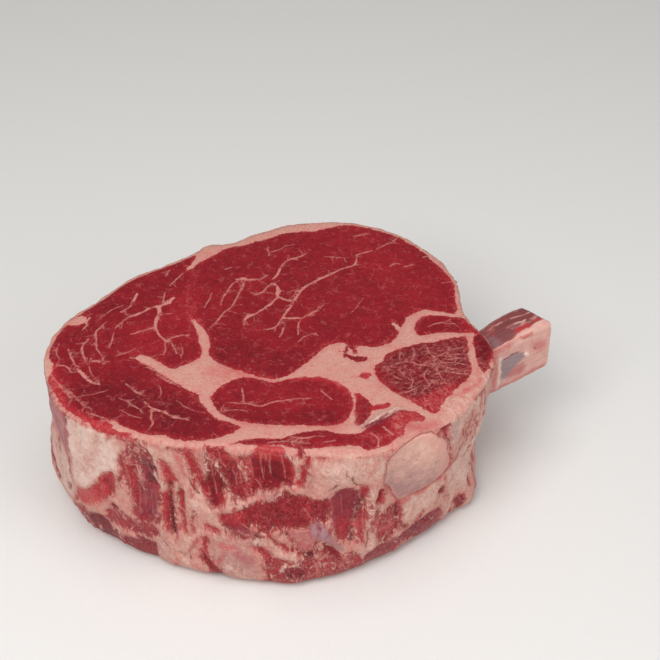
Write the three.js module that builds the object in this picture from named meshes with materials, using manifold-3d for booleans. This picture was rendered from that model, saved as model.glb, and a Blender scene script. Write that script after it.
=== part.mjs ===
// A raw beef rib roast: one thick slab cut across the ribs, lying on its lower cut face.
//
// Units are millimetres and +Z is up. The slab is drawn as a face seen from above, and that face
// is carried down to the floor. A place in the slab is a bearing round the middle of the face, a
// distance out from it, and a height. The muscles run right through the slab, from face to face,
// and the fat fills everything between and round them. One rib bone runs inside the right wall,
// from its sawn end in the front wall to its trimmed end, which stands out at the back right.

import * as THREE from "three";
import * as BufferGeometryUtils from "three/addons/utils/BufferGeometryUtils.js";
import Module from "manifold-3d";

const wasm = await Module();
wasm.setup();

// ---------------------------------------------------------------- driving dimensions

const THICKNESS = 85; // from cut face to cut face
const RIND = 1.6; // the least fat outside any muscle
const GAP = 0.3; // clearance between two pieces that touch
const LIP = 2; // rounding of the upper edge
const REACH = 6; // how far a cutting shape runs past the slab

const BEARING_STEPS = 92; // steps round the slab
const CROWDING = 0.4; // how much closer the steps are at the front, where the folds are
const WALL_STEPS = 7; // steps up the wall
const RIND_STEPS = 2; // steps up the inner side of the rind
const HEEL_STEPS = 3; // steps round the lower edge
const OUTLINE_STEP = 5.4; // spacing of the points along a muscle's outline
const MUSCLE_STEPS = 3; // steps down a muscle

// The upper edge of the slab, clockwise from its left end.
const RIM = [
  [-112, -25], [-111, -8], [-103, 9], [-90, 25], [-75, 43], [-57, 55], [-42, 66],
  [-33.5, 74.5], [-27, 72], [-12, 81.5], [5, 89.5], [27, 93.3], [42, 92.5], [59, 86],
  [75.5, 73.5], [88, 56], [95, 40], [95.5, 25], [97.5, 11], [104, 1], [110, -12], [108, -28],
  [102, -42], [94, -56], [82, -67],
  [70, -74], [60, -82], [45, -87], [20, -86], [-10, -84], [-35, -82], [-60, -77], [-80, -70],
  [-95, -60], [-104, -48], [-108, -37],
];

// [bearing in degrees, how far the foot of the wall stands out past the upper edge]
const FLARE = [
  [-166, 2.5], [-153, -1], [-140, -2], [-128, 0.5], [-118, 5], [-110, 7], [-97, 10],
  [-84, 12.5], [-76, 8.5], [-71, 5.5], [-65, 0.5], [-58, -4.5], [-44, -5.5], [-38, -6.5],
  [-31, -7.5], [-26.5, -5.5], [-21.5, 1], [-14, -4], [-10, -5],
  [5, -5.5], [20, -4], [60, 1],
  [100, -3], [140, -1], [172, 0],
];

// [bearing in degrees, rounding of the lower edge]
const HEEL = [[-160, 20], [-140, 12], [-128, 8], [-112, 9], [10, 10], [120, 12], [150, 18], [180, 21]];

// Folds and swellings of the wall: bearing in degrees, height, half width along the wall, half
// height, and how far it pushes the wall out.
const FOLDS = [
  { bearing: -168, height: 60, wide: 14, tall: 22, push: -4.6 },
  { bearing: -156, height: 50, wide: 7, tall: 28, push: -2.2 },
  { bearing: -143, height: 42, wide: 10, tall: 24, push: 2 },
  { bearing: -128, height: 58, wide: 7, tall: 20, push: -2.6 },
  { bearing: -118, height: 50, wide: 5, tall: 15, push: -3.4 },
  { bearing: -107, height: 66, wide: 13, tall: 12, push: -3.2 },
  { bearing: -101, height: 20, wide: 18, tall: 12, push: 1.8 },
  { bearing: -90, height: 69, wide: 14, tall: 9, push: -3 },
  { bearing: -88, height: 46, wide: 24, tall: 10, push: 3 },
  { bearing: -70, height: 71, wide: 18, tall: 10, push: 1.8 },
  { bearing: -66, height: 47, wide: 8, tall: 14, push: -3 },
  { bearing: -60, height: 44, wide: 4, tall: 20, push: 2.2 },
  { bearing: -54, height: 52, wide: 5, tall: 11, push: -3 },
  { bearing: -43, height: 64, wide: 15, tall: 17, push: 2.6 },
  { bearing: -40, height: 40, wide: 15, tall: 4, push: -2.4 },
  { bearing: -18, height: 30, wide: 22, tall: 20, push: -6.5 },
  { bearing: -20, height: 10, wide: 16, tall: 10, push: 1.4 },
  { bearing: 40, height: 30, wide: 26, tall: 18, push: 2.2 },
  { bearing: 75, height: 56, wide: 30, tall: 14, push: -2.2 },
  { bearing: 118, height: 34, wide: 22, tall: 20, push: 2.4 },
  { bearing: 146, height: 58, wide: 18, tall: 16, push: -2.4 },
];

// The muscles: outlines on the upper face, and the height at which one that lies only over the
// bone ends. An outline drawn past the upper edge stops at the rind there.
const MUSCLES = {
  eye_muscle: {
    colour: 0x8e2430,
    outline: [
      [-34, 64], [-15, 72], [9, 83], [20, 83], [38, 89], [60, 81], [76, 68], [90, 46], [97, 32],
      [93, 14], [85, 15.5], [78, 17], [70, 13], [65, 4], [60, -8], [50, -13], [38, -10],
      [30, -9], [24, -16], [14, -28], [4, -35.5], [-12, -31], [-25, -24.5], [-30, -19],
      [-30, -11], [-33, 0], [-39, 10], [-42, 30], [-41, 45], [-38, 57],
    ],
  },
  cap_muscle: {
    colour: 0x861d29,
    outline: [
      [-40, 61], [-62, 62], [-105, 30], [-125, -8], [-109, -30], [-103, -46], [-95, -59],
      [-87, -65], [-76, -67], [-72, -65.5], [-66, -70], [-54, -75], [-46.5, -75], [-41, -78],
      [-28, -77.5], [-19, -74.5], [-13, -70.5], [-20, -65.5], [-25, -64], [-28, -59],
      [-33, -54], [-33, -48.5], [-40, -44], [-47, -38], [-52, -33], [-60, -26.5],
      [-67, -21.5], [-66.5, -18], [-59, -20], [-52, -26.5], [-47, -29], [-41, -25.5],
      [-36, -21], [-34, -15], [-34.5, -7], [-37.5, 0], [-41.5, 9], [-44, 30], [-43, 46],
    ],
  },
  centre_muscle: {
    colour: 0x96202b,
    outline: [
      [-27.5, -50], [-24, -42], [-18, -37], [-10, -35], [1, -38.8], [11, -35.5], [22, -35],
      [32, -38.5], [38.5, -46], [39.4, -55], [37, -65], [31, -68.3], [14, -68], [-10, -66],
      [-21, -61],
    ],
  },
  wedge_muscle: {
    colour: 0x7c1a26,
    outline: [
      [41.6, -46], [44, -47], [46, -51.5], [49, -54.5], [48, -60], [45.5, -65], [43, -69],
      [41.2, -66], [41, -60], [41.6, -52],
    ],
  },
  strip_muscle: {
    colour: 0x7a1c27,
    outline: [
      [-15, -79.2], [-6, -77], [3, -77.6], [11, -75], [19, -72.5], [27, -72], [35, -74.8],
      [42, -74.5], [47, -70.5], [53, -65.5], [58, -61.5], [61, -66], [61, -74], [57, -81],
      [52, -84], [45, -85], [42, -81], [35, -82], [25, -82.5], [19, -84], [13, -83],
      [8, -80.9], [-5, -80.9],
    ],
  },
  rib_side_muscle: {
    colour: 0x7d1d29,
    outline: [
      [51, -27], [55, -24], [56, -19], [62, -15], [72, -10.5], [82, -8.5], [92, -5.5],
      [96, -4], [97.5, -9], [97, -22], [98, -30], [95, -37], [91, -40], [87, -46], [83, -52],
      [78, -60], [73, -57], [68, -52], [60, -45.5], [53, -37],
    ],
  },
  corner_muscle: {
    colour: 0x7d1824,
    outline: [
      [71.5, 1], [73, 7], [77, 11.5], [83, 12], [91, 10.5], [99, 9], [106, 3], [103, -1],
      [97, -1.6], [90, -1], [81, -1.5], [75, -4],
    ],
  },
  edge_muscle: {
    colour: 0x74131f,
    floor: 80.6,
    outline: [
      [100.8, -4.5], [105, -6], [112, -11], [111, -20], [107, -28], [103, -29.5], [101, -22],
      [100.5, -12],
    ],
  },
};

// The rib bone. Each station is a point on its centre line, half its thickness from side to
// side, half its height, how square its section is (2 is an oval, higher is squarer), how far
// its top leans over for each millimetre of height, and how far its front side runs ahead for
// each millimetre of thickness. The first station lies outside the front wall, which trims it.
const RIB = [
  { at: [60.5, -87, 61.5], thick: 7.7, high: 21.2, square: 2.4, lean: 0.02, skew: 0 },
  { at: [71, -71, 61.5], thick: 7.6, high: 21.2, square: 2.4, lean: 0.02, skew: 0 },
  { at: [83, -51, 61.5], thick: 7.4, high: 20.4, square: 2.6, lean: 0.02, skew: 0 },
  { at: [90, -29, 62], thick: 7, high: 15.5, square: 3.2, lean: 0, skew: 0 },
  { at: [97, -11, 62], thick: 7, high: 15.2, square: 3.2, lean: 0, skew: 0 },
  { at: [109.6, 3.8, 60.9], thick: 8.4, high: 16.8, square: 5, lean: 0, skew: 0 },
  { at: [122.4, 14.2, 61.2], thick: 9.6, high: 16.6, square: 7, lean: 0, skew: 0 },
  { at: [134.4, 21.6, 62.3], thick: 9.9, high: 15, square: 8, lean: 0, skew: 0.3 },
];
const RIB_SIDES = 20;
const TINY = 1e-6;
const RIB_STEPS = 14;

const FAT_COLOUR = 0xdcae9f;
const BONE_COLOUR = 0xdcbba6;

// ---------------------------------------------------------------- curves and sections

const { clamp, degToRad, lerp } = THREE.MathUtils;

function smooth(share) {
  const t = clamp(share, 0, 1);
  return t * t * (3 - 2 * t);
}

// The same bearing between -pi and pi.
function wrapped(bearing) {
  return Math.atan2(Math.sin(bearing), Math.cos(bearing));
}

// A value all the way round, from [bearing in degrees, value] pairs in order of bearing.
function roundTheSlab(pairs) {
  return (bearing) => {
    const degrees = THREE.MathUtils.radToDeg(bearing);
    let next = pairs.findIndex(([b]) => b > degrees);
    if (next < 0) next = 0;
    const before = pairs[(next + pairs.length - 1) % pairs.length];
    const after = pairs[next];
    const span = (after[0] - before[0] + 360) % 360;
    const along = (degrees - before[0] + 360) % 360;
    return lerp(before[1], after[1], smooth(along / span));
  };
}

function closedCurve(points) {
  const path = points.map(([x, y]) => new THREE.Vector3(x, y, 0));
  return new THREE.CatmullRomCurve3(path, true, "centripetal");
}

// The distance from the middle out to a closed outline, at any bearing.
function radiusOf(points) {
  const spots = closedCurve(points).getSpacedPoints(720);
  const pairs = spots.map((p) => [THREE.MathUtils.radToDeg(Math.atan2(p.y, p.x)), Math.hypot(p.x, p.y)]);
  pairs.sort((a, b) => a[0] - b[0]);
  return roundTheSlab(pairs.filter((pair, i) => i === 0 || pair[0] > pairs[i - 1][0] + 0.05));
}

const rimRadius = radiusOf(RIM);
const flareAt = roundTheSlab(FLARE);
const heelAt = roundTheSlab(HEEL);

// The distance out to the wall at a bearing and a height.
function wallRadius(bearing, height) {
  const rim = rimRadius(bearing);
  const down = 1 - clamp(height / THICKNESS, 0, 1);
  let radius = rim + flareAt(bearing) * Math.pow(down, 0.85);
  for (const fold of FOLDS) {
    const sideways = wrapped(bearing - degToRad(fold.bearing)) * rim;
    const upward = height - fold.height;
    radius += fold.push * Math.exp(-((sideways / fold.wide) ** 2) - (upward / fold.tall) ** 2);
  }
  return radius;
}

// ---------------------------------------------------------------- solids

// A closed geometry as a solid that can be joined and cut.
function solidOf(geometry) {
  geometry.deleteAttribute("normal");
  geometry.deleteAttribute("uv");
  const merged = BufferGeometryUtils.mergeVertices(geometry, 1e-4);
  return new wasm.Manifold(
    new wasm.Mesh({
      numProp: 3,
      vertProperties: new Float32Array(merged.attributes.position.array),
      triVerts: new Uint32Array(merged.index.array),
    }),
  );
}

// The named piece that a finished solid makes.
function pieceOf(name, solid, material) {
  const { vertProperties, triVerts } = solid.getMesh();
  const geometry = new THREE.BufferGeometry();
  geometry.setAttribute("position", new THREE.BufferAttribute(vertProperties, 3));
  geometry.setIndex(new THREE.BufferAttribute(triVerts, 1));
  const piece = new THREE.Mesh(geometry, material);
  piece.name = name;
  return piece;
}

function evenly(count) {
  return Array.from({ length: count }, (_, i) => (i + 1) / count);
}

// The rows of the slab's profile, from the middle of the floor up to the middle of the face.
// Where the floor and the face are moved out by a reach, the lower edge needs its own first row.
function profileRows(reach, wallSteps) {
  const rows = [0, 1].map((share) => ({ zone: "floor", share }));
  if (reach > 0) rows.push({ zone: "heel", share: 0 });
  evenly(HEEL_STEPS).forEach((share) => rows.push({ zone: "heel", share }));
  evenly(wallSteps).forEach((share) => rows.push({ zone: "wall", share }));
  evenly(2).forEach((share) => rows.push({ zone: "lip", share }));
  if (reach > 0) rows.push({ zone: "face", share: 1 });
  rows.push({ zone: "face", share: 0 });
  return rows;
}

// Where one row of the profile stands at a bearing: its distance out, and its height.
function profilePoint(row, bearing, inset, reach) {
  const heel = heelAt(bearing);
  const wallAt = (height) => wallRadius(bearing, height) - inset;
  const turn = (row.share * Math.PI) / 2;
  if (row.zone === "floor") {
    return [row.share * (wallAt(0) - heel), -reach];
  }
  if (row.zone === "heel") {
    const height = heel * (1 - Math.cos(turn));
    return [wallAt(height) - heel * (1 - Math.sin(turn)), height];
  }
  if (row.zone === "wall") {
    const height = lerp(heel, THICKNESS - LIP, row.share);
    return [wallAt(height), height];
  }
  const edge = wallAt(THICKNESS);
  if (row.zone === "lip") {
    return [edge - LIP * (1 - Math.cos(turn)), THICKNESS - LIP * (1 - Math.sin(turn))];
  }
  return [row.share * (edge - LIP), THICKNESS + reach];
}

// The bearing of a step round the slab.
function bearingOf(step) {
  const even = (step * 2 * Math.PI) / BEARING_STEPS;
  return wrapped(even - CROWDING * Math.cos(even));
}

// The slab as one solid. inset draws its wall in, and reach moves its floor and face out.
function slab({ inset = 0, reach = 0, wallSteps = WALL_STEPS }) {
  const rows = profileRows(reach, wallSteps);
  const profile = rows.map((row, i) => {
    const onAxis = i === 0 || i === rows.length - 1;
    return new THREE.Vector2(onAxis ? 0 : 1, i);
  });
  const geometry = new THREE.LatheGeometry(profile, BEARING_STEPS);
  const position = geometry.attributes.position;
  for (let i = 0; i < position.count; i += 1) {
    const row = rows[i % rows.length];
    const bearing = bearingOf(Math.floor(i / rows.length) % BEARING_STEPS);
    const [radius, height] = profilePoint(row, bearing, inset, reach);
    position.setXYZ(i, radius * Math.cos(bearing), radius * Math.sin(bearing), height);
  }
  return solidOf(geometry);
}

// A muscle's outline as evenly spaced points, moved outwards by grow.
function outlinePoints(points, grow) {
  const curve = closedCurve(points);
  const count = Math.round(curve.getLength() / OUTLINE_STEP);
  const spots = curve.getSpacedPoints(count).slice(0, count);
  const turning = Math.sign(THREE.ShapeUtils.area(spots));
  return spots.map((spot, i) => {
    const tangent = curve.getTangentAt(i / count);
    const outward = new THREE.Vector3(tangent.y, -tangent.x, 0).multiplyScalar(grow * turning);
    return spot.clone().add(outward);
  });
}

// A muscle's outline carried down through the slab. It keeps its share of the way out to the
// wall, so it follows the wall as that swells and draws in.
function muscleColumn({ outline, floor = -REACH }, grow) {
  const shape = new THREE.Shape(outlinePoints(outline, grow));
  const bottom = floor > 0 ? floor - grow : floor;
  const depth = THICKNESS + REACH - bottom;
  const geometry = new THREE.ExtrudeGeometry(shape, { depth, steps: MUSCLE_STEPS, bevelEnabled: false });
  const position = geometry.attributes.position;
  for (let i = 0; i < position.count; i += 1) {
    const x = position.getX(i);
    const y = position.getY(i);
    const height = position.getZ(i) + bottom;
    const bearing = Math.atan2(y, x);
    const flared = rimRadius(bearing) + flareAt(bearing) * (1 - clamp(height / THICKNESS, 0, 1));
    const share = flared / rimRadius(bearing);
    position.setXYZ(i, x * share, y * share, height);
  }
  return solidOf(geometry);
}

// A value at a share of the way along the rib, eased between the stations.
function alongRib(key, share) {
  const place = clamp(share, 0, 1) * (RIB.length - 1);
  const station = Math.min(Math.floor(place), RIB.length - 2);
  return lerp(RIB[station][key], RIB[station + 1][key], smooth(place - station));
}

// The rib as a bent, flattened rod, with its skin moved outwards by grow.
function ribRod(grow) {
  const line = new THREE.CatmullRomCurve3(RIB.map(({ at }) => new THREE.Vector3(...at)));
  const geometry = new THREE.CylinderGeometry(1, 1, 1, RIB_SIDES, RIB_STEPS);
  const position = geometry.attributes.position;
  for (let i = 0; i < position.count; i += 1) {
    const share = position.getY(i) + 0.5;
    const centre = line.getPoint(share);
    const ahead = line.getTangent(share).setZ(0).normalize();
    const aside = new THREE.Vector3(ahead.y, -ahead.x, 0);
    const round = Math.atan2(position.getZ(i), position.getX(i));
    const out = Math.hypot(position.getX(i), position.getZ(i));
    const bluntness = 2 / alongRib("square", share);
    const squared = (value) => (Math.abs(value) < TINY ? 0 : Math.sign(value) * Math.abs(value) ** bluntness);
    const upward = squared(Math.sin(round)) * (alongRib("high", share) + grow) * out;
    const width = squared(Math.cos(round)) * (alongRib("thick", share) + grow) * out;
    const sideways = width + upward * alongRib("lean", share);
    const forwards = width * alongRib("skew", share);
    const spot = centre.addScaledVector(aside, sideways).addScaledVector(ahead, forwards);
    position.setXYZ(i, spot.x, spot.y, spot.z + upward);
  }
  return solidOf(geometry);
}

// The room outside the slab's right wall, where the trimmed end of the rib stands free.
function roomForTheRib() {
  const [x, y, z] = RIB[RIB.length - 1].at;
  return solidOf(new THREE.BoxGeometry(60, 60, 60).translate(x, y, z));
}

// ---------------------------------------------------------------- the roast

function meatMaterial(color, roughness) {
  return new THREE.MeshStandardMaterial({ color, roughness, metalness: 0 });
}

const whole = slab({});
const core = slab({ inset: RIND, reach: REACH, wallSteps: RIND_STEPS });
const hollow = slab({ inset: RIND - GAP, reach: REACH, wallSteps: RIND_STEPS });
const ribCut = ribRod(GAP);

const roast = new THREE.Group();
let fat = whole.subtract(ribCut);

for (const [name, muscle] of Object.entries(MUSCLES)) {
  const meat = muscleColumn(muscle, 0).intersect(core).intersect(whole).subtract(ribCut);
  roast.add(pieceOf(name, meat, meatMaterial(muscle.colour, 0.42)));
  fat = fat.subtract(muscleColumn(muscle, GAP).intersect(hollow));
}
roast.add(pieceOf("fat", fat, meatMaterial(FAT_COLOUR, 0.5)));

const rib = ribRod(0).intersect(whole.add(roomForTheRib()));
roast.add(pieceOf("rib_bone", rib, meatMaterial(BONE_COLOUR, 0.6)));

// The origin is on the floor, under the middle of the roast.
const box = new THREE.Box3().setFromObject(roast);
const middle = box.getCenter(new THREE.Vector3());
roast.position.set(-middle.x, -middle.y, -box.min.z);

const group = new THREE.Group();
group.add(roast);

export default group;
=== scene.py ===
# %% [markdown]
# # A raw beef rib roast
#
# The roast is one thick slab of meat, cut across the back of the animal, with a single rib in it.
# Eight muscles and the fat between them run through the slab from the upper cut face to the lower
# one. The rib crosses it near the front right edge: its sawn end shows as a pale oval on the wall,
# and its other end stands out, scraped clean.
#
# The solids come from the frame. Here they get the skin that the real thing has: one continuous
# surface of flesh whose colours follow the muscles, and a rib of its own.
# All lengths below are in millimetres unless a name says otherwise, and MM turns them into metres.

import math
import random

import bmesh
import bpy
import numpy as np
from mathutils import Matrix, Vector, noise
from mathutils.bvhtree import BVHTree


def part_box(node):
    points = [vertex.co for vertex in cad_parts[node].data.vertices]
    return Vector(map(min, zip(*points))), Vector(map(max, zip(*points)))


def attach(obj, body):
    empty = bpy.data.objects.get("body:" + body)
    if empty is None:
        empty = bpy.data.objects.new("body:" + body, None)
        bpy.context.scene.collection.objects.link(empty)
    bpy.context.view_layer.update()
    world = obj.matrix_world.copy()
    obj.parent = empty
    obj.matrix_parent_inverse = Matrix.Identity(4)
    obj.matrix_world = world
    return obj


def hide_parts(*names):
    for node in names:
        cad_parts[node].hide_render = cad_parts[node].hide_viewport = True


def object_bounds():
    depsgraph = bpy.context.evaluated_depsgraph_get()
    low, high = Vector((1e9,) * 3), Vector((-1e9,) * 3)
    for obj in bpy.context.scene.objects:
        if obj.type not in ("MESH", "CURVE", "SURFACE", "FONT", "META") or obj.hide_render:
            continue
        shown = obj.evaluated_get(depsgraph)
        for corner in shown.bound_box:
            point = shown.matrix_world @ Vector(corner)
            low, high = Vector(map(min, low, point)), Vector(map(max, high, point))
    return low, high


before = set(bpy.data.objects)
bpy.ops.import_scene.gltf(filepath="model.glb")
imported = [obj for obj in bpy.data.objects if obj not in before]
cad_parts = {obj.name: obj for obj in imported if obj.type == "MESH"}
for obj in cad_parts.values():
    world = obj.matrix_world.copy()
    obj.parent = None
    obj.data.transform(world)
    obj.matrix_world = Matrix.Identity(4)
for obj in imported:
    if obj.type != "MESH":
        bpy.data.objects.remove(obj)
cad_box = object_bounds()
MM = 0.001
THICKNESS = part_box("fat")[1].z / MM
print("slab", round(THICKNESS, 1), "mm thick, nodes:", ", ".join(sorted(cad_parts)))

# %% [markdown]
# ## Two ways to say where a point of the skin is
#
# The upper face is flat, so a point on it is simply x and y. FACE_ZERO is the point inside the
# kernel of fat that all places on the face are measured from.
#
# The wall goes round the slab, so a point on it is better given as a walk along the rim, in
# millimetres from the left tip towards the viewer and on round the front, and a height. The walk
# is worked out from the frame: the fat's outline is cut out near the top, its radius is read for
# every bearing, and the lengths of the small steps between bearings add up.

# %% The walk along the rim
FACE_ZERO = np.array([-14.15, 1.39])
RIM_CUT = THICKNESS - 0.7
WALK_START = -168.0


def bearing_of(xy):
    """Bearing of points round FACE_ZERO, in degrees, 0 towards +X."""
    return np.degrees(np.arctan2(xy[:, 1] - FACE_ZERO[1], xy[:, 0] - FACE_ZERO[0]))


def outline_at(node, height):
    """The edges of a node's outline at one height, as two arrays of end points in the plane."""
    solid = bmesh.new()
    solid.from_mesh(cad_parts[node].data)
    everything = solid.verts[:] + solid.edges[:] + solid.faces[:]
    cut = bmesh.ops.bisect_plane(
        solid, geom=everything, plane_co=(0, 0, height * MM), plane_no=(0, 0, 1)
    )["geom_cut"]
    edges = [part for part in cut if isinstance(part, bmesh.types.BMEdge)]
    starts = np.array([edge.verts[0].co[:2] for edge in edges]).reshape(-1, 2) / MM
    ends = np.array([edge.verts[1].co[:2] for edge in edges]).reshape(-1, 2) / MM
    solid.free()
    return starts, ends


def rim_radius():
    """The rim's distance from FACE_ZERO at every second degree."""
    starts, ends = outline_at("fat", RIM_CUT)
    share = np.linspace(0, 1, 12)[:, None, None]
    points = (starts * (1 - share) + ends * share).reshape(-1, 2)
    bearings = bearing_of(points)
    reach = np.hypot(*(points - FACE_ZERO).T)
    steps = np.arange(-180, 182, 2.0)
    apart = np.abs((bearings[None, :] - steps[:, None] + 180) % 360 - 180)
    return steps, np.array([reach[near].max() for near in apart < 2.0])


rim_steps, rim_reach = rim_radius()
walk_bearings = np.arange(WALK_START, WALK_START + 361, 1.0)
walk_reach = np.interp((walk_bearings + 180) % 360 - 180, rim_steps, rim_reach)
walk_points = np.stack(
    [np.cos(np.radians(walk_bearings)) * walk_reach, np.sin(np.radians(walk_bearings)) * walk_reach], 1
)
walk_lengths = np.append(0, np.cumsum(np.hypot(*np.diff(walk_points, axis=0).T)))


def walk_of(xy):
    """How far along the rim each point lies, by its bearing."""
    turned = (bearing_of(xy) - WALK_START) % 360 + WALK_START
    return np.interp(turned, walk_bearings, walk_lengths)


print("once round the rim is", round(walk_lengths[-1]), "mm")

# %% [markdown]
# ## The body of the meat
#
# The frame holds the muscles and the fat as solids with hairline gaps between them. On the real
# roast they are grown together, and the surface runs on across every seam. So a copy of each is
# swollen by a little more than half a gap, all copies are joined, and a voxel remesh gives one
# closed skin of even small faces. Even faces matter, because the colours and the relief are
# worked out at the corners of the faces and carried by them.
# The tunnel for the rib stays open, because the rib isn't among the copies.

# %% Grow the solids together
MEAT_NODES = [name for name in sorted(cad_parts) if name != "rib_bone"]
SWELL = 0.2
VOXEL = 1.18


def new_piece(name, mesh):
    """An object for a finished mesh, in the scene."""
    piece = bpy.data.objects.new(name, mesh)
    bpy.context.scene.collection.objects.link(piece)
    return piece


def merged_copy(nodes, swell):
    """One mesh of copies of these nodes, their loose triangles welded and each moved outwards."""
    whole = bmesh.new()
    for name in nodes:
        first = len(whole.verts)
        whole.from_mesh(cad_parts[name].data)
        whole.verts.ensure_lookup_table()
        bmesh.ops.remove_doubles(whole, verts=whole.verts[first:], dist=0.001 * MM)
    whole.normal_update()
    for vert in whole.verts:
        vert.co += vert.normal * swell * MM
    mesh = bpy.data.meshes.new("copy")
    whole.to_mesh(mesh)
    whole.free()
    return mesh


def applied(piece):
    """Puts the piece's modifiers into its mesh."""
    seen = piece.evaluated_get(bpy.context.evaluated_depsgraph_get())
    mesh = bpy.data.meshes.new_from_object(seen)
    piece.modifiers.clear()
    old, piece.data = piece.data, mesh
    bpy.data.meshes.remove(old)
    mesh.name = piece.name
    return piece


def remeshed(name, nodes, swell, voxel):
    """A piece with one even skin round copies of these nodes."""
    piece = new_piece(name, merged_copy(nodes, swell))
    remesh = piece.modifiers.new("one skin", "REMESH")
    remesh.mode = "VOXEL"
    remesh.voxel_size = voxel * MM
    return applied(piece)


meat = remeshed("meat", MEAT_NODES, SWELL, VOXEL)
print("meat:", len(meat.data.vertices), "corners,", len(meat.data.polygons), "faces")

# %% [markdown]
# ## Softer edges
#
# A knife leaves the edge of a cut face slightly rounded, because flesh gives way. A Smooth modifier
# with a vertex group does that: it works fully along the upper rim, and a short pass over the whole
# skin takes away the last traces of the voxels.

# %% Smooth the skin and round the rim
RIM_ROUNDING = 12
RIM_WIDTH = (1.5, 4.5)
RIM_DEPTH = (4, 1)
SKIN_SMOOTHING = 2
SOFTENING = 0.5


def corner_places(piece):
    """The corners of a piece's mesh, in millimetres."""
    flat = np.empty(len(piece.data.vertices) * 3, np.float32)
    piece.data.vertices.foreach_get("co", flat)
    return flat.reshape(-1, 3).astype(float) / MM


def corner_normals(piece):
    """The direction that the surface faces at each corner."""
    flat = np.empty(len(piece.data.vertices) * 3, np.float32)
    piece.data.vertex_normals.foreach_get("vector", flat)
    return flat.reshape(-1, 3).astype(float)


def move_corners(piece, places):
    """Puts the corners of a piece's mesh at these places, in millimetres."""
    piece.data.vertices.foreach_set("co", (places * MM).astype(np.float32).ravel())
    piece.data.update()


def smoothstep(low, high, value):
    """0 below low, 1 above high and a soft rise between them."""
    share = np.clip((value - low) / (high - low), 0, 1)
    return share * share * (3 - 2 * share)


def weigh(piece, name, weights):
    """A vertex group with these weights, in ten steps."""
    group = piece.vertex_groups.new(name=name)
    steps = np.round(np.clip(weights, 0, 1) * 10).astype(int)
    for step in range(1, 11):
        group.add(np.flatnonzero(steps == step).tolist(), step / 10, "REPLACE")


def smooth(piece, times, group=""):
    """A Smooth modifier on a piece, put into its mesh."""
    softening = piece.modifiers.new("smooth", "SMOOTH")
    softening.factor = SOFTENING
    softening.iterations = times
    softening.vertex_group = group
    return applied(piece)


def depth_behind_rim(places):
    """How far inside the rim each place lies, seen from above."""
    outward = np.hypot(*(places[:, :2] - FACE_ZERO).T)
    return np.interp(bearing_of(places[:, :2]), rim_steps, rim_reach) - outward


smooth(meat, SKIN_SMOOTHING)
skin = corner_places(meat)
close = 1 - smoothstep(*RIM_WIDTH, np.abs(depth_behind_rim(skin)))
rim_low, rim_high = (THICKNESS - depth for depth in RIM_DEPTH)
weigh(meat, "rim", close * smoothstep(rim_low, rim_high, skin[:, 2]))
smooth(meat, RIM_ROUNDING, "rim")
skin = corner_places(meat)
facing = corner_normals(meat)
print("rim rounded,", len(skin), "corners")

# %% [markdown]
# ## Measuring in a plane
#
# Every mark on the meat is a line or an area in a plane: across the face (x and y), or unrolled
# along the wall (walk and height). Two helpers measure all of them at once for thousands of
# corners. One gives the step from the nearest place on a path to each point. The other gives the
# signed depth inside a closed outline, by the nearest edge and by counting how many edges a ray
# crosses. Signed depths are what make sharp borders possible on a mesh: between two corners the
# depth runs straight through zero, and the border is drawn where it does.

# %% Helpers for paths and outlines


def to_nearest(points, starts, ends):
    """For each point the step from the nearest place on any segment, and that segment's number."""
    best = np.full(len(points), 1e9)
    step = np.zeros((len(points), 2))
    which = np.zeros(len(points), int)
    for number, (start, end) in enumerate(zip(starts, ends)):
        along = end - start
        share = np.clip((points - start) @ along / max(along @ along, 1e-9), 0, 1)
        apart = points - start - share[:, None] * along
        distance = np.hypot(apart[:, 0], apart[:, 1])
        nearer = distance < best
        best[nearer] = distance[nearer]
        step[nearer] = apart[nearer]
        which[nearer] = number
    return best, step, which


def depth_inside(points, starts, ends):
    """Distance to an outline's nearest edge, positive inside it and negative outside."""
    distance, _, _ = to_nearest(points, starts, ends)
    inside = np.zeros(len(points), bool)
    for (x0, y0), (x1, y1) in zip(starts, ends):
        if y0 != y1:
            spans = (y0 > points[:, 1]) != (y1 > points[:, 1])
            crossing = x0 + (points[:, 1] - y0) * (x1 - x0) / (y1 - y0)
            inside ^= spans & (points[:, 0] < crossing)
    return np.where(inside, distance, -distance)


def rounded(path, times=2):
    """A path with its corners cut, so that it bends softly."""
    path = np.array(path, float)
    for _ in range(times):
        early = path[:-1] * 0.75 + path[1:] * 0.25
        late = path[:-1] * 0.25 + path[1:] * 0.75
        middle = np.stack([early, late], 1).reshape(-1, 2)
        path = np.vstack([path[:1], middle[1:-1], path[-1:]]) if len(path) > 2 else path
    return path


def grain_of_noise(points, size, seed=0.0):
    """Smooth noise from about -1 to 1 at each point, with lumps of about this size."""
    scaled = np.column_stack([points, np.zeros(len(points))])[:, :3] / size + seed
    return np.array([noise.noise(Vector(place)) for place in scaled])


def ragged(points, coarse, fine):
    """Points shifted by two sizes of noise, so that what is drawn on them gets uneven edges."""
    shift = np.zeros((len(points), 2))
    for axis in (0, 1):
        shift[:, axis] += coarse * grain_of_noise(points, 7.0, 3.1 + axis * 9)
        shift[:, axis] += fine * grain_of_noise(points, 2.6, 8.7 + axis * 9)
    return points[:, :2] + shift


# %% [markdown]
# ## The muscles on the face
#
# The frame already knows where each muscle is. Cutting its solid at one height gives its outline,
# and the depth inside the outline, in millimetres, becomes the field called lean: positive in
# meat, negative in fat. The lower face gets its outlines from a cut near the floor.
#
# A second number, wall_share, says how far a corner belongs to the wall: 0 where the skin lies
# level, 1 where it stands upright. Round the rims it runs softly from one to the other, and so do
# the finish and the relief that depend on it.

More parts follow.
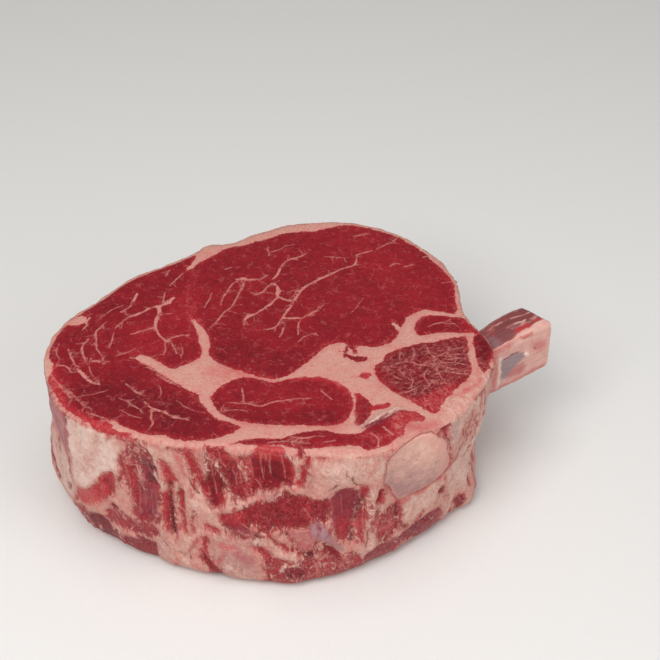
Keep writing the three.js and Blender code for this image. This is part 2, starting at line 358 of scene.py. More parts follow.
# %% Lean and fat on the two cut faces
MUSCLES = [name for name in MEAT_NODES if name != "fat"]
GROWN_TOGETHER = 0.35
FACE_DEPTH = 2.2
FACE_LEVEL = 0.3
FLOOR_CUT = 1.2
FAR = 9.0


def lean_on_face(points, height):
    """Depth inside the nearest muscle at this height, negative in the fat between them."""
    lean = np.full(len(points), -FAR)
    warped = ragged(points, 0.7, 0.35)
    for name in MUSCLES:
        starts, ends = outline_at(name, height)
        if len(starts):
            lean = np.maximum(lean, depth_inside(warped, starts, ends) + GROWN_TOGETHER)
    return lean


above = (skin[:, 2] > THICKNESS - FACE_DEPTH) & (facing[:, 2] > FACE_LEVEL)
below = (skin[:, 2] < FACE_DEPTH) & (facing[:, 2] < -FACE_LEVEL)
wall_share = 1 - smoothstep(0.35, 0.85, np.abs(facing[:, 2]))
lean = np.full(len(skin), -6.0)
lean[above] = lean_on_face(skin[above, :2], RIM_CUT)
lean[below] = lean_on_face(skin[below, :2], FLOOR_CUT)
print("lean covers", round(100 * float((lean[above] > 0).mean())), "% of the upper face")

# %% [markdown]
# ## Marbling
#
# Marbling is fat that follows the sheets between bundles of fibres, so on a cut face it shows as
# thin branching lines. The large ones have known places and are drawn here as paths, each with its
# half width. A seeded rule then grows twigs on them, short bent side branches at uneven gaps,
# because a real vein never stays bare for long. The finest lines are left to the material.
#
# A thin line can't be stored as a mere distance: halfway between two corners on either side of it
# the distance should be zero, but the mesh would average the two corners' values. A step with a
# direction averages to zero just where it should, so each corner keeps the step from its nearest
# vein, and the material takes its length.

# %% The large veins
# Each vein: half its width, then its points on the face, measured from FACE_ZERO.
EYE_VEINS = [
    (0.50, [(-31, 2), (-27, 8), (-26, 13), (-21, 18), (-19, 25), (-17, 31), (-15, 37), (-18, 41)]),
    (0.40, [(-35, 18), (-32, 26)]),
    (0.55, [(-27, 20), (-26, 26), (-24, 32), (-22, 37), (-18, 42)]),
    (1.20, [(-20, 41), (-17, 42.3), (-13, 41), (-8, 41)]),
    (0.60, [(-8, 41), (-6, 42), (-4, 44.5)]),
    (0.75, [(-1, 41.5), (0, 43), (2, 46), (3, 51), (5, 56)]),
    (0.50, [(5, 56), (9, 59), (14, 61), (17, 64)]),
    (0.55, [(9, 59), (12, 58.5)]),
    (0.45, [(-4, 69), (-4, 65), (-3, 61)]),
    (0.35, [(-3, 64), (1, 66), (6, 71)]),
    (0.55, [(-12, 31), (-9, 28), (-6, 30), (-4, 34), (-2, 37), (2, 36)]),
    (1.15, [(-1, 37.5), (2, 36), (2.6, 31), (2, 27)]),
    (0.75, [(2, 27), (6, 24), (10, 23)]),
    (0.70, [(2, 27), (0, 22), (-5, 17), (-9, 13)]),
    (1.00, [(-9, 13), (-13, 11), (-14, 7)]),
    (0.45, [(-14, 7), (-14.5, 4)]),
    (0.80, [(10, 23), (12, 27), (14, 32), (18, 37), (25, 43), (31, 47), (35, 50)]),
    (0.65, [(35, 50), (40, 52), (43, 55), (43, 62)]),
    (0.55, [(43, 62), (48, 65), (51, 66)]),
    (0.45, [(54, 67), (58, 71), (63, 74), (66, 78)]),
    (0.70, [(10, 23), (9, 18), (6, 13), (5, 10)]),
    (0.50, [(5, 10), (3, 4), (0, 1), (-4, 1)]),
    (0.80, [(5, 10), (10, 10), (15, 9)]),
    (0.50, [(15, 9), (18, 12), (22, 15), (26, 20)]),
    (0.55, [(14, 9), (13, 3), (13, -3)]),
    (0.45, [(6, 2), (4, -5)]),
    (0.40, [(7, 29), (10, 33), (12, 30), (9, 26)]),
    (0.50, [(42, 79), (45, 80), (49, 81)]),
    (0.40, [(60, 52), (63, 55), (66, 54)]),
    (0.40, [(68, 52), (73, 54)]),
    (0.40, [(78, 60), (81, 61)]),
    (0.35, [(87, 38), (92, 39), (96, 42)]),
    (0.35, [(26, 61), (32, 60), (37, 60)]),
    (0.30, [(40, 14), (44, 21), (46, 26)]),
    (0.35, [(-26, 50), (-22, 52)]),
    (0.35, [(13, -9), (16, -5), (22, -2)]),
]
CAP_VEINS = [
    (0.90, [(-51, 26), (-55, 21)]),
    (0.50, [(-56, 31), (-56, 25), (-57, 20)]),
    (1.40, [(-53, 22), (-56, 20.5), (-60, 19)]),
    (0.80, [(-60, 19), (-65, 16), (-69, 12), (-74, 9)]),
    (0.45, [(-74, 9), (-76, 6), (-79, 1)]),
    (1.00, [(-70, 29), (-71, 26), (-72, 21)]),
    (0.50, [(-72, 21), (-74, 17), (-77, 14)]),
    (1.40, [(-58, 19), (-57.5, 13)]),
    (0.90, [(-57.5, 13), (-59, 7), (-59, 2), (-56, -4)]),
    (0.70, [(-56, -4), (-53, -8), (-50, -8)]),
    (0.55, [(-52, -7), (-48, -5), (-44, -4), (-42, -5), (-41, -3)]),
    (0.40, [(-50, -8), (-48, -12), (-46, -18)]),
    (0.40, [(-53, -8), (-52, -13), (-53, -19)]),
    (0.50, [(-59, 2), (-64, 0), (-70, -3)]),
    (0.35, [(-56, 13), (-51, 13)]),
    (0.55, [(-83, 7), (-86, 3), (-88, -1), (-87, -8), (-86, -15), (-83, -19), (-81, -25)]),
    (0.60, [(-91, -7), (-94, -12), (-92, -20), (-90, -24)]),
    (0.70, [(-90, -24), (-85, -23), (-82, -25)]),
    (0.60, [(-100, -15), (-97, -23), (-93, -30)]),
    (1.10, [(-93, -30), (-89, -36), (-86, -39)]),
    (0.60, [(-86, -39), (-82, -40)]),
    (0.50, [(-103, -27), (-99, -27), (-96, -32)]),
    (0.45, [(-79, -2), (-79, -7), (-80, -13)]),
    (0.35, [(-67, -14), (-72, -18), (-76, -20)]),
    (0.50, [(-69, -40), (-63, -46), (-60, -48)]),
    (0.50, [(-71, -50), (-66, -53), (-62, -57), (-59, -60)]),
    (0.70, [(-59, -53), (-55, -57), (-49, -60), (-43, -64), (-37, -65)]),
    (0.60, [(-55, -58), (-55, -63), (-54, -68)]),
    (0.50, [(-77, -65), (-72, -66)]),
    (0.90, [(-92, 10), (-94, 7), (-93, 4)]),
    (0.45, [(-93, 4), (-95, 0)]),
    (0.45, [(-48, 46), (-51, 41), (-54, 36)]),
    (0.35, [(-55, 49), (-57, 44)]),
    # Long thin arcs that run round with the left rim.
    (0.35, [(-105, -10), (-106, -16), (-103, -23)]),
    (0.30, [(-88, -21), (-88, -29), (-86, -34), (-82, -38)]),
    (0.40, [(-101, -42), (-95, -46), (-91, -50)]),
    (0.30, [(-91, -49), (-86, -48), (-81, -46), (-77, -44)]),
    (0.35, [(-91, -51), (-88, -55), (-83, -58)]),
    (0.30, [(-53, -41), (-51, -46), (-53, -50)]),
    (0.55, [(-79, -66.5), (-75, -65.4), (-71, -68), (-64, -72.5)]),
    (0.30, [(-76, 20), (-82, 16), (-87, 10)]),
    (0.25, [(-45, -10), (-43, -15), (-44, -21)]),
    (0.25, [(-70, -58), (-66, -62), (-59, -64)]),
    (0.25, [(-44, -52), (-38, -58), (-30, -60)]),
]
RIB_SIDE_VEINS = [
    (0.40, [(98, -27), (91, -25), (85, -24), (80, -26)]),
    (0.35, [(97, -31), (90, -29), (84, -27)]),
    (0.40, [(97, -34), (90, -32), (84, -30), (80, -33)]),
    (0.40, [(98, -22), (91, -21), (86, -22)]),
    (0.30, [(97, -18), (90, -18), (85, -20)]),
    (0.30, [(96, -13), (90, -14), (86, -17)]),
    (0.35, [(76, -11), (77, -16), (80, -20), (80, -26), (82, -33), (84, -38)]),
    (0.30, [(80, -20), (85, -18), (88, -13)]),
    (0.30, [(70, -13), (71, -19), (68, -24)]),
    (0.35, [(58, -27), (63, -24), (68, -24), (74, -27), (80, -26)]),
    (0.30, [(68, -33), (69, -38), (68, -42)]),
    (0.35, [(76, -30), (74, -34), (76, -38)]),
    (0.30, [(60, -34), (64, -37)]),
    (0.35, [(61, -47), (66, -46), (70, -43)]),
    (0.30, [(72, -47), (76, -42), (78, -38)]),
    (0.30, [(64, -17), (63, -22)]),
]
OTHER_VEINS = [
    (0.60, [(-69, -21), (-61, -20.5), (-55, -24), (-49, -29)]),
    (0.50, [(-64, -24), (-57, -28), (-50, -33)]),
    (0.45, [(-60, -28), (-53, -32), (-47, -37)]),
    (0.50, [(-55, -33), (-49, -38), (-43, -42)]),
    (0.45, [(-86, -60), (-78, -63), (-71, -67)]),
    (0.45, [(-106, -33), (-99, -43), (-93, -52)]),
    (0.40, [(30, -17), (35, -20), (39, -24)]),
    (0.50, [(48, -74), (52, -78), (51, -83)]),
    (0.45, [(54, -70), (58, -75)]),
    (0.40, [(-13, -43), (-12, -52)]),
    (0.45, [(-21, -53), (-13, -53.5), (-3, -56), (1, -53), (9, -51), (20, -50)]),
    (0.40, [(25, -45), (30, -51)]),
    (0.35, [(-24, -60), (-18, -58), (-11, -59)]),
    (0.60, [(41, -49), (40.5, -54), (40, -60), (40.5, -66)]),
    (0.45, [(78, 3), (84, 6), (90, 8.5)]),
    (0.35, [(84, 6), (92, 5)]),
    (0.45, [(0, -80), (9, -79.3), (14, -80), (20, -81)]),
    (0.50, [(11, -76.5), (17, -78), (22, -76)]),
    (0.40, [(26, -80), (32, -79)]),
]
WIDTH_AT_TIPS = 0.45
TWIG_GAP = (4.0, 11.0)
TWIG_LENGTH = (2.0, 7.0)
TWIG_HALF = (0.14, 0.26)
SEED = 7
chance = random.Random(SEED)


def twigs(veins):
    """Side branches of the veins: short, thin and bent, at uneven gaps on either side."""
    branches = []
    for half, path in veins:
        line = rounded(path)
        reach = np.append(0, np.cumsum(np.hypot(*np.diff(line, axis=0).T)))
        place = chance.uniform(0.5, TWIG_GAP[1])
        while place < reach[-1] and half > 0.3:
            root = np.array([np.interp(place, reach, line[:, axis]) for axis in (0, 1)])
            number = min(np.searchsorted(reach, place), len(line) - 1)
            heading = math.atan2(*(line[number] - line[number - 1])[::-1])
            heading += chance.choice((-1, 1)) * math.radians(chance.uniform(20, 60))
            points = [root]
            for _ in range(2):
                heading += math.radians(chance.uniform(-25, 25))
                stride = chance.uniform(*TWIG_LENGTH) / 2
                points.append(points[-1] + stride * np.array([math.cos(heading), math.sin(heading)]))
            branches.append((chance.uniform(*TWIG_HALF), points))
            place += chance.uniform(*TWIG_GAP)
    return branches


def vein_fields(points, veins):
    """The step from the nearest vein, the half width there, and the plain distance."""
    starts, ends, halves = [], [], []
    for half, path in veins:
        line = rounded(path)
        share = (np.arange(len(line) - 1) + 0.5) / (len(line) - 1)
        taper = WIDTH_AT_TIPS + (1 - WIDTH_AT_TIPS) * np.sqrt(4 * share * (1 - share))
        starts.append(line[:-1])
        ends.append(line[1:])
        halves.append(half * taper)
    distance, step, which = to_nearest(points, np.vstack(starts), np.vstack(ends))
    return np.column_stack([step, np.concatenate(halves)[which]]), distance


NAMED_VEINS = EYE_VEINS + CAP_VEINS + RIB_SIDE_VEINS + OTHER_VEINS
ALL_VEINS = NAMED_VEINS + twigs(NAMED_VEINS)
vein = np.tile([FAR, 0.0, 0.5], (len(skin), 1))
vein_near = np.full(len(skin), FAR)
for cut_face in (above, below):
    on_face = ragged(skin[cut_face, :2] - FACE_ZERO, 0.6, 0.35)
    vein[cut_face], vein_near[cut_face] = vein_fields(on_face, ALL_VEINS)
print(len(NAMED_VEINS), "veins with", len(ALL_VEINS) - len(NAMED_VEINS), "twigs")

# %% [markdown]
# ## Painting with areas and bands
#
# The rest of the surface is painted the way a scene painter works, large areas first and small
# ones on top, but with numbers instead of colours. Each mark is a blot (a closed outline) or a
# stroke (a path with half a width), and it changes some of these fields:
#
# - lean: meat where positive, fat where negative;
# - tone: how dark (-1) or bright (+1) the meat is;
# - blush: how pink the fat is, and below zero how white;
# - film: the silvery skin that lies over muscles;
# - net: how closely fine fat and meat are mixed;
# - pit: cracks and holes, positive inside;
# - rise: how far the surface stands out, in millimetres.
#
# The material turns the fields into colours, and the relief step turns rise into shape. Torn meat
# is rarely all one thing, so a mark may also cap how deep it goes. The lean field then stays near
# zero inside the mark, and the frayed border, which is drawn there, spreads over all of it.

# %% The painter's tools
FIELD_NAMES = ("tone", "blush", "film", "net", "rise")


def blank_fields(lean):
    """A set of fields in which nothing is painted yet, with the lean field given."""
    blank = {name: np.zeros(len(lean)) for name in FIELD_NAMES}
    return {"lean": lean, "pit": np.full(len(lean), -4.0), **blank}


def area(points, outline):
    """Signed depth inside a closed outline."""
    ring = rounded(list(outline) + [outline[0]], 1)
    return depth_inside(points, ring[:-1], ring[1:])


def band(points, half, path):
    """Signed depth inside a path that is twice half wide. half may be one width for each end."""
    line = rounded(path)
    first, last = (half, half) if np.isscalar(half) else half
    distance, _, which = to_nearest(points, line[:-1], line[1:])
    widths = np.linspace(first, last, len(line) - 1)
    return widths[which] - distance


def blot(outline, tissue=None, **amounts):
    """A mark that fills a closed outline."""
    return None, outline, {"tissue": tissue, **amounts}


def stroke(half, path, tissue=None, **amounts):
    """A mark along a path, this wide to either side of it."""
    return half, path, {"tissue": tissue, **amounts}


def paint(fields, chosen, depth, tissue=None, soft=1.5, most=99.0, **amounts):
    """Changes the fields of the chosen corners where depth is positive, softly at the border.

    A small most keeps the lean field near zero inside, so both tissues show there, mixed. A most
    below zero stops short of the border, so the other tissue keeps the larger share.
    """
    if tissue == "meat":
        fields["lean"][chosen] = np.maximum(fields["lean"][chosen], np.minimum(depth, most))
    if tissue == "fat":
        fields["lean"][chosen] = np.minimum(fields["lean"][chosen], -np.minimum(depth, most))
    if tissue == "pit":
        fields["pit"][chosen] = np.maximum(fields["pit"][chosen], depth)
    share = smoothstep(-soft, soft, depth)
    for name, amount in amounts.items():
        if name == "rise":
            fields[name][chosen] += share * amount
        else:
            fields[name][chosen] += share * (amount - fields[name][chosen])


# %% [markdown]
# ## Marks on the face
#
# The muscles differ in colour as well as in outline: the small one at the right edge is dark, the
# one beside the rib has a dense net of fine fat, and a band of drying meat along the front left
# rim is salmon. The fat has wedges, islands of meat and a piece of silvery skin in it.

# %% Paint the face
FACE_MARKS = [
    # The seam between the eye and the cap: grown together at the back, a sliver of fat in front.
    stroke(2.4, [(-40, 64), (-41, 50), (-43, 30), (-41, 15), (-39, 10)], "meat"),
    stroke((0.5, 2.4), [(-39.5, 8), (-36, 1), (-34, -6)], "fat"),
    stroke((2.4, 1.3), [(-34, -6), (-32.5, -13), (-32, -21)], "fat"),
    # Fat at the left part of the back rim, and a spur of it into the cap.
    stroke((1.8, 2.8), [(-36, 67), (-20, 75), (-5, 84), (10, 90), (22, 92.5)], "fat"),
    blot([(-45, 65), (-33, 75), (-26, 72), (-30, 64), (-38, 58), (-46, 48), (-47, 50), (-41, 60)],
         "fat"),
    blot([(-106, 6), (-99, 12), (-94, 12), (-93, 7), (-99, 3)], "fat"),
    # The band of salmon meat along the front left rim.
    stroke((1.6, 2.6), [(-74, -69), (-85, -65), (-94, -57), (-100, -48), (-104, -38), (-109, -28)],
           "meat", tone=0.75, soft=2.5),
    # The kernel of fat: pinker at its left and along its front arm.
    stroke(5, [(-28, -30), (-14, -33), (0, -40)], blush=0.5, soft=5),
    stroke(3, [(-20, -68), (10, -70), (36, -70)], blush=0.35, soft=4),
    # Islands in the fat round the centre, and a dark sliver under the eye.
    blot([(41, -46.3), (43.8, -45.8), (44.8, -50.8), (49, -54.2), (49.9, -57.5), (48, -62),
         (43.5, -68.3), (40.6, -68.5), (40.6, -60)], "meat", most=2.0, tone=-0.1, net=0.2),
    stroke(1.2, [(41.5, -48), (43, -50)], tone=0.5, soft=1.5),
    stroke((0.9, 0.5), [(37.5, -12.5), (36.4, -17), (35.5, -21)], "meat", tone=-0.2),
    blot([(42.5, -34), (45, -31.5), (49.5, -32), (48, -35.5), (45.5, -36.5)], "meat", tone=0.6),
    blot([(33, -15), (37, -17), (41, -19.5), (49.5, -20), (44, -24.5), (39.5, -22.5), (36, -18.5)],
         "meat", tone=-0.35),
    stroke(1.5, [(38, -9), (40, -13), (42, -16)], "meat", tone=-0.1),
    blot([(41, -13), (47, -13.5), (50, -16.5), (43, -17.5)], "fat"),
    stroke((1.0, 0.6), [(61, 6), (64, 1), (66, -4)], "fat"),
    # The two small muscles at the right, a pale strip beside them and red meat between them.
    blot([(72, 2), (78, 12), (90, 11), (104, 4), (96, -1.5), (80, -2)], tone=-0.12, soft=3),
    blot([(95, 8), (104, 4), (103, -2), (96, -1)], tone=0.4, soft=3),
    stroke((0.5, 1.6), [(99.5, -3), (98.6, -8), (98.4, -14), (99, -24), (100, -34)], "fat"),
    blot([(100.6, -3), (106, -3), (110, -9), (110, -18), (107, -27), (103, -33), (101.6, -24),
         (100.4, -12)], "meat", tone=-0.5, soft=2),
    stroke(1.4, [(97, 3), (102, -1), (107, -5)], "meat", tone=0.2, soft=2),
    stroke(1.8, [(109, -5), (111, -14), (108.5, -25)], tone=0.5, blush=0.8, soft=2),
    # The net in the muscle beside the rib, bright and broken at its front corner.
    blot([(52, -27), (62, -15), (82, -8), (97, -5), (98, -30), (83, -50), (70, -52), (56, -40)],
         net=0.75, tone=-0.38, soft=4),
    blot([(69, -51), (76, -47), (84, -41), (90, -39), (88, -46), (83, -51), (80, -60), (76, -60)],
         "meat", tone=0.4, net=1.0, most=2.0, soft=2.5),
    stroke(2, [(90, -41), (96, -37), (102, -30)], blush=0.5, soft=4),
    stroke(5, [(86, -56), (94, -50), (102, -40), (106, -26)], blush=-0.2, net=1.0, soft=4),
    stroke(1.2, [(92, -47), (97, -42), (101, -36)], blush=1.0, soft=2),
    stroke(0.8, [(98, -50), (103, -43)], blush=0.9, soft=1.5),
    blot([(-114, -24), (-109, -19), (-105, -28), (-108, -36), (-113, -34)], "fat", blush=-0.4),
    # Thin ends of muscle in the front arm of the fat, and a red patch in the rim at the left.
    stroke((0.4, 1.1), [(-17, -80.8), (-8, -79.8), (2, -80), (11, -78.6)], "meat", tone=-0.3),
    stroke(0.7, [(14, -74.8), (20, -73.2), (27, -73.4), (31, -74.8)], "meat", tone=-0.4),
    stroke(1.5, [(15, -82), (16.5, -89)], "meat", tone=-0.1),
    blot([(-84, -66), (-78, -68), (-70, -72), (-62, -75), (-66, -77), (-75, -74.5), (-83, -70)], "meat",
         tone=0.6),
    # The torn ends of meat in the front wall reach over the rim.
    blot([(-29, -81.6), (-24, -82.4), (-18, -82), (-17, -90), (-30, -90)], "meat", tone=0.3, net=0.6),
    blot([(-5, -82.4), (1, -81.8), (8, -82.4), (9, -90), (-6, -90)], "meat", tone=0.75, net=0.4),
    # Bright meat, stains and silvery skin between the wedge and the rib.
    blot([(56, -63), (61, -59), (66, -57.5), (72, -60), (74, -65), (70, -66.5), (65, -66), (64, -72),
         (61, -78), (57, -72)], "meat", tone=0.5, net=0.9, most=1.5, soft=2),
    stroke(2.5, [(66, -69), (72, -71), (78, -68)], blush=0.7, film=0.25, soft=3),
    blot([(42, -69), (46, -65), (52, -60), (60, -56), (66, -57), (62, -60), (56, -64), (50, -69),
         (45, -72)], film=0.65, blush=-0.4, soft=1.6),
    stroke(0.45, [(44, -70), (50, -66), (57, -60)], "meat", tone=-1.0, soft=0.6),
    stroke(0.40, [(48, -70), (54, -65), (60, -61.5)], "meat", tone=-0.8, soft=0.6),
    stroke(0.50, [(47, -67.5), (53, -61.5), (60, -58)], blush=-1.2, film=0.1, soft=0.6),
    stroke(2.5, [(46, -76), (52, -78), (56, -76)], tone=0.4, net=0.6, soft=3),
    stroke(1.6, [(50, -57), (53, -56), (56, -55)], "meat", tone=0.5),
    # Darker and lighter stretches in the large muscles.
    stroke(12, [(-82, -46), (-62, -54), (-36, -66)], tone=-0.40, soft=10),
    stroke(9, [(-98, -12), (-80, 14), (-60, 40)], tone=-0.15, soft=9),
    stroke(10, [(-60, -8), (-48, 0), (-42, 20)], tone=0.18, soft=8),
    stroke(12, [(70, 30), (62, 50), (40, 70)], tone=0.18, soft=14),
    stroke(9, [(10, -22), (-14, -22), (-24, -10)], tone=-0.22, soft=9),
    stroke(3, [(90, 52), (97, 28), (98, 16)], tone=0.4, soft=4),
    stroke(5, [(-22, -60), (0, -66), (28, -64)], tone=-0.25, soft=5),
    stroke(1.6, [(10, -36), (20, -35.5), (31, -38.5), (38, -45)], tone=0.7, soft=2.5),
]


def paint_marks(fields, chosen, points, marks):
    """Paints a list of marks on the chosen corners, whose places in the plane are points."""
    for half, path, effect in marks:
        depth = area(points, path) if half is None else band(points, half, path)
        paint(fields, chosen, depth, **effect)


flesh = blank_fields(lean)
on_face = ragged(skin[above, :2] - FACE_ZERO, 0.8, 0.5)
paint_marks(flesh, above, on_face, FACE_MARKS)
on_face = ragged(skin[below, :2] - FACE_ZERO, 0.8, 0.5)
paint_marks(flesh, below, on_face, [mark for mark in FACE_MARKS if "film" not in mark[-1]])
print(len(FACE_MARKS), "marks on the face")
